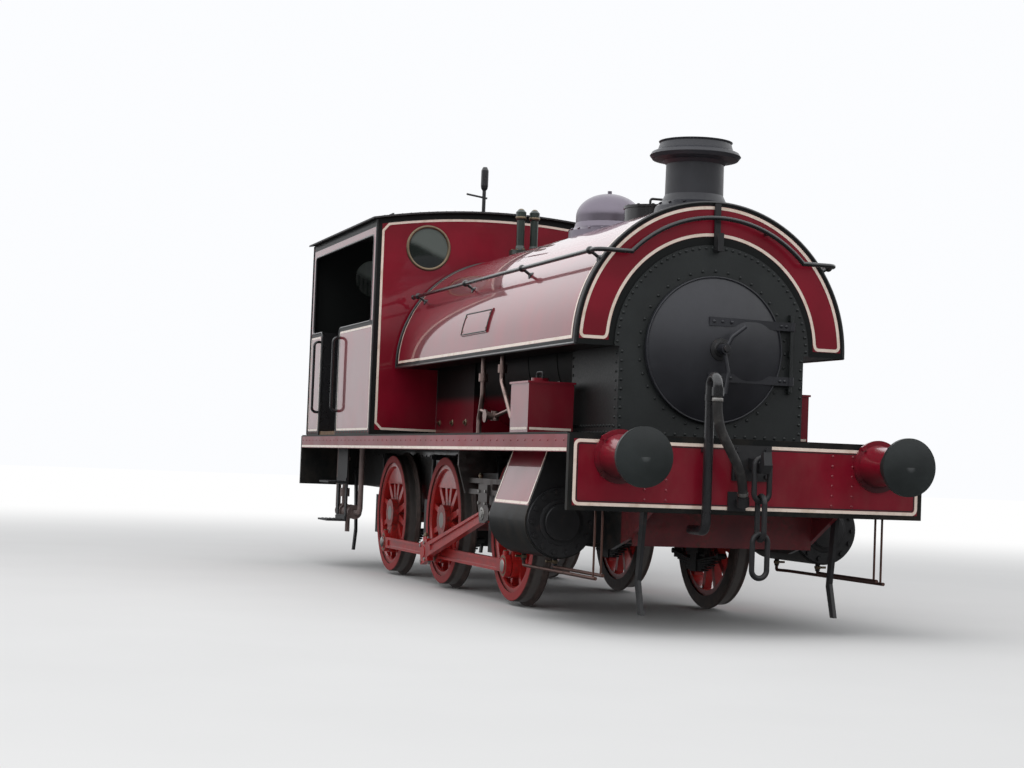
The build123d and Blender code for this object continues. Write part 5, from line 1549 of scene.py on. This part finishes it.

# %% [markdown]
# ## Hose clamps
# A worm clamp holds the hose on each pipe end, and the clamps sit on the hose itself.

# %% Clamps
hose_end = HOSE_START + Vector(HOSE_ROUTE[-1])
end_way = (Vector(HOSE_ROUTE[-1]) - Vector(HOSE_ROUTE[-2])).normalized()
CLAMP = [(0, 0.0295), (0, 0.0335), (0.004, 0.0345), (0.016, 0.0345), (0.020, 0.0335), (0.020, 0.0295)]
clamps = turned_piece("hose_clamps", [(CLAMP, HOSE_START - Z_AXIS * 0.032, Z_AXIS),
                                      (CLAMP, hose_end - end_way * 0.034, end_way)], steel)
print("pieces in all:", len(made_pieces), "faces:", sum(count for name, count in made_pieces))

# %% [markdown]
# ## Floor and light
# A pale studio floor catches the shadow and fades to white with distance, so no horizon line competes with
# the model. The sky is overcast: bright above, with a dark tree line low down that only reflections see,
# because varnish looks like varnish when it mirrors an edge between bright and dark.

# %% Build the floor
stage_mesh = bmesh.new()
bmesh.ops.create_grid(stage_mesh, x_segments=1, y_segments=1, size=90)
floor = Finish("floor")
x, y, z = floor.axes()
tone = floor.noise(0.8, 3, 0.5)
colour = floor.mix(tone, solid(0.66, 0.66, 0.655), solid(0.70, 0.70, 0.695))
matt = floor.node("ShaderNodeBsdfDiffuse", {"Color": colour})
glow = floor.node("ShaderNodeEmission", {"Color": solid(1, 1, 1), "Strength": 1.0})
seen = floor.value("ShaderNodeLightPath", output="Is Camera Ray")
fade = floor.band(floor.length(x, y), 5.0, 20.0) * seen
blend = floor.node("ShaderNodeMixShader", {0: fade, 1: matt.outputs[0], 2: glow.outputs[0]})
floor.node("ShaderNodeOutputMaterial", {"Surface": blend.outputs[0]})
floor_object = add_object("studio_floor", mesh_from(stage_mesh, "studio_floor"))
floor_object.data.materials.append(floor.material)
floor_object.location.z = -0.001
floor_object.visible_glossy = False
floor_object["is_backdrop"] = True
print("floor:", floor_object.name)


# %% Two lamps
def add_lamp(name, place, target, size, power):
    lamp = bpy.data.lights.new(name, "AREA")
    lamp.shape = "RECTANGLE"
    lamp.size, lamp.size_y = size
    lamp.energy = power
    holder = add_object(name, lamp)
    holder.location = place
    holder.rotation_euler = (Vector(target) - Vector(place)).to_track_quat("-Z", "Y").to_euler()
    holder.visible_glossy = False


add_lamp("overhead", (2.0, -3.0, 9.0), (0, 0, 1.2), (10, 8), 420)
add_lamp("front_fill", (12.0, -7.0, 4.5), (0.5, 0, 1.4), (5, 4), 130)
print("lamps ready")

# %% The sky
overcast = bpy.data.worlds.new("overcast")
bpy.context.scene.world = overcast
sky = Finish("overcast", overcast)
x, y, z = sky.axes()
ripple = sky.noise(7, 3, 0.6) * 0.10
ahead = sky.band(x, -0.5, 0.4)
tree_line = sky.band(z + ripple - ahead * 0.20, 0.0, 0.07)
ground = 1 - sky.band(z, -0.04, 0.01)
mirrored = 0.07 + tree_line * (0.85 + sky.band(z, 0.12, 0.40) * 0.55) + ground * 0.03
shaded = 0.22 + sky.band(z, -0.10, 0.35) * 0.62
paths = sky.node("ShaderNodeLightPath")
is_camera, is_glossy = Value(sky, paths.outputs["Is Camera Ray"]), Value(sky, paths.outputs["Is Glossy Ray"])
unseen = mirrored * is_glossy + shaded * (1 - is_glossy)
strength = unseen * (1 - is_camera) + is_camera
background = sky.node("ShaderNodeBackground", {"Color": solid(0.97, 0.98, 1.0), "Strength": strength})
sky.node("ShaderNodeOutputWorld", {"Surface": background.outputs[0]})
bpy.context.scene.view_settings.view_transform = "Standard"
print("sky ready")

# %% The box before and after
bpy.context.view_layer.update()
new_low, new_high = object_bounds()
corners = [[round(v, 3) for v in (*low, *high)] for low, high in ((cad_low, cad_high), (new_low, new_high))]
print("box before and after:", *corners)
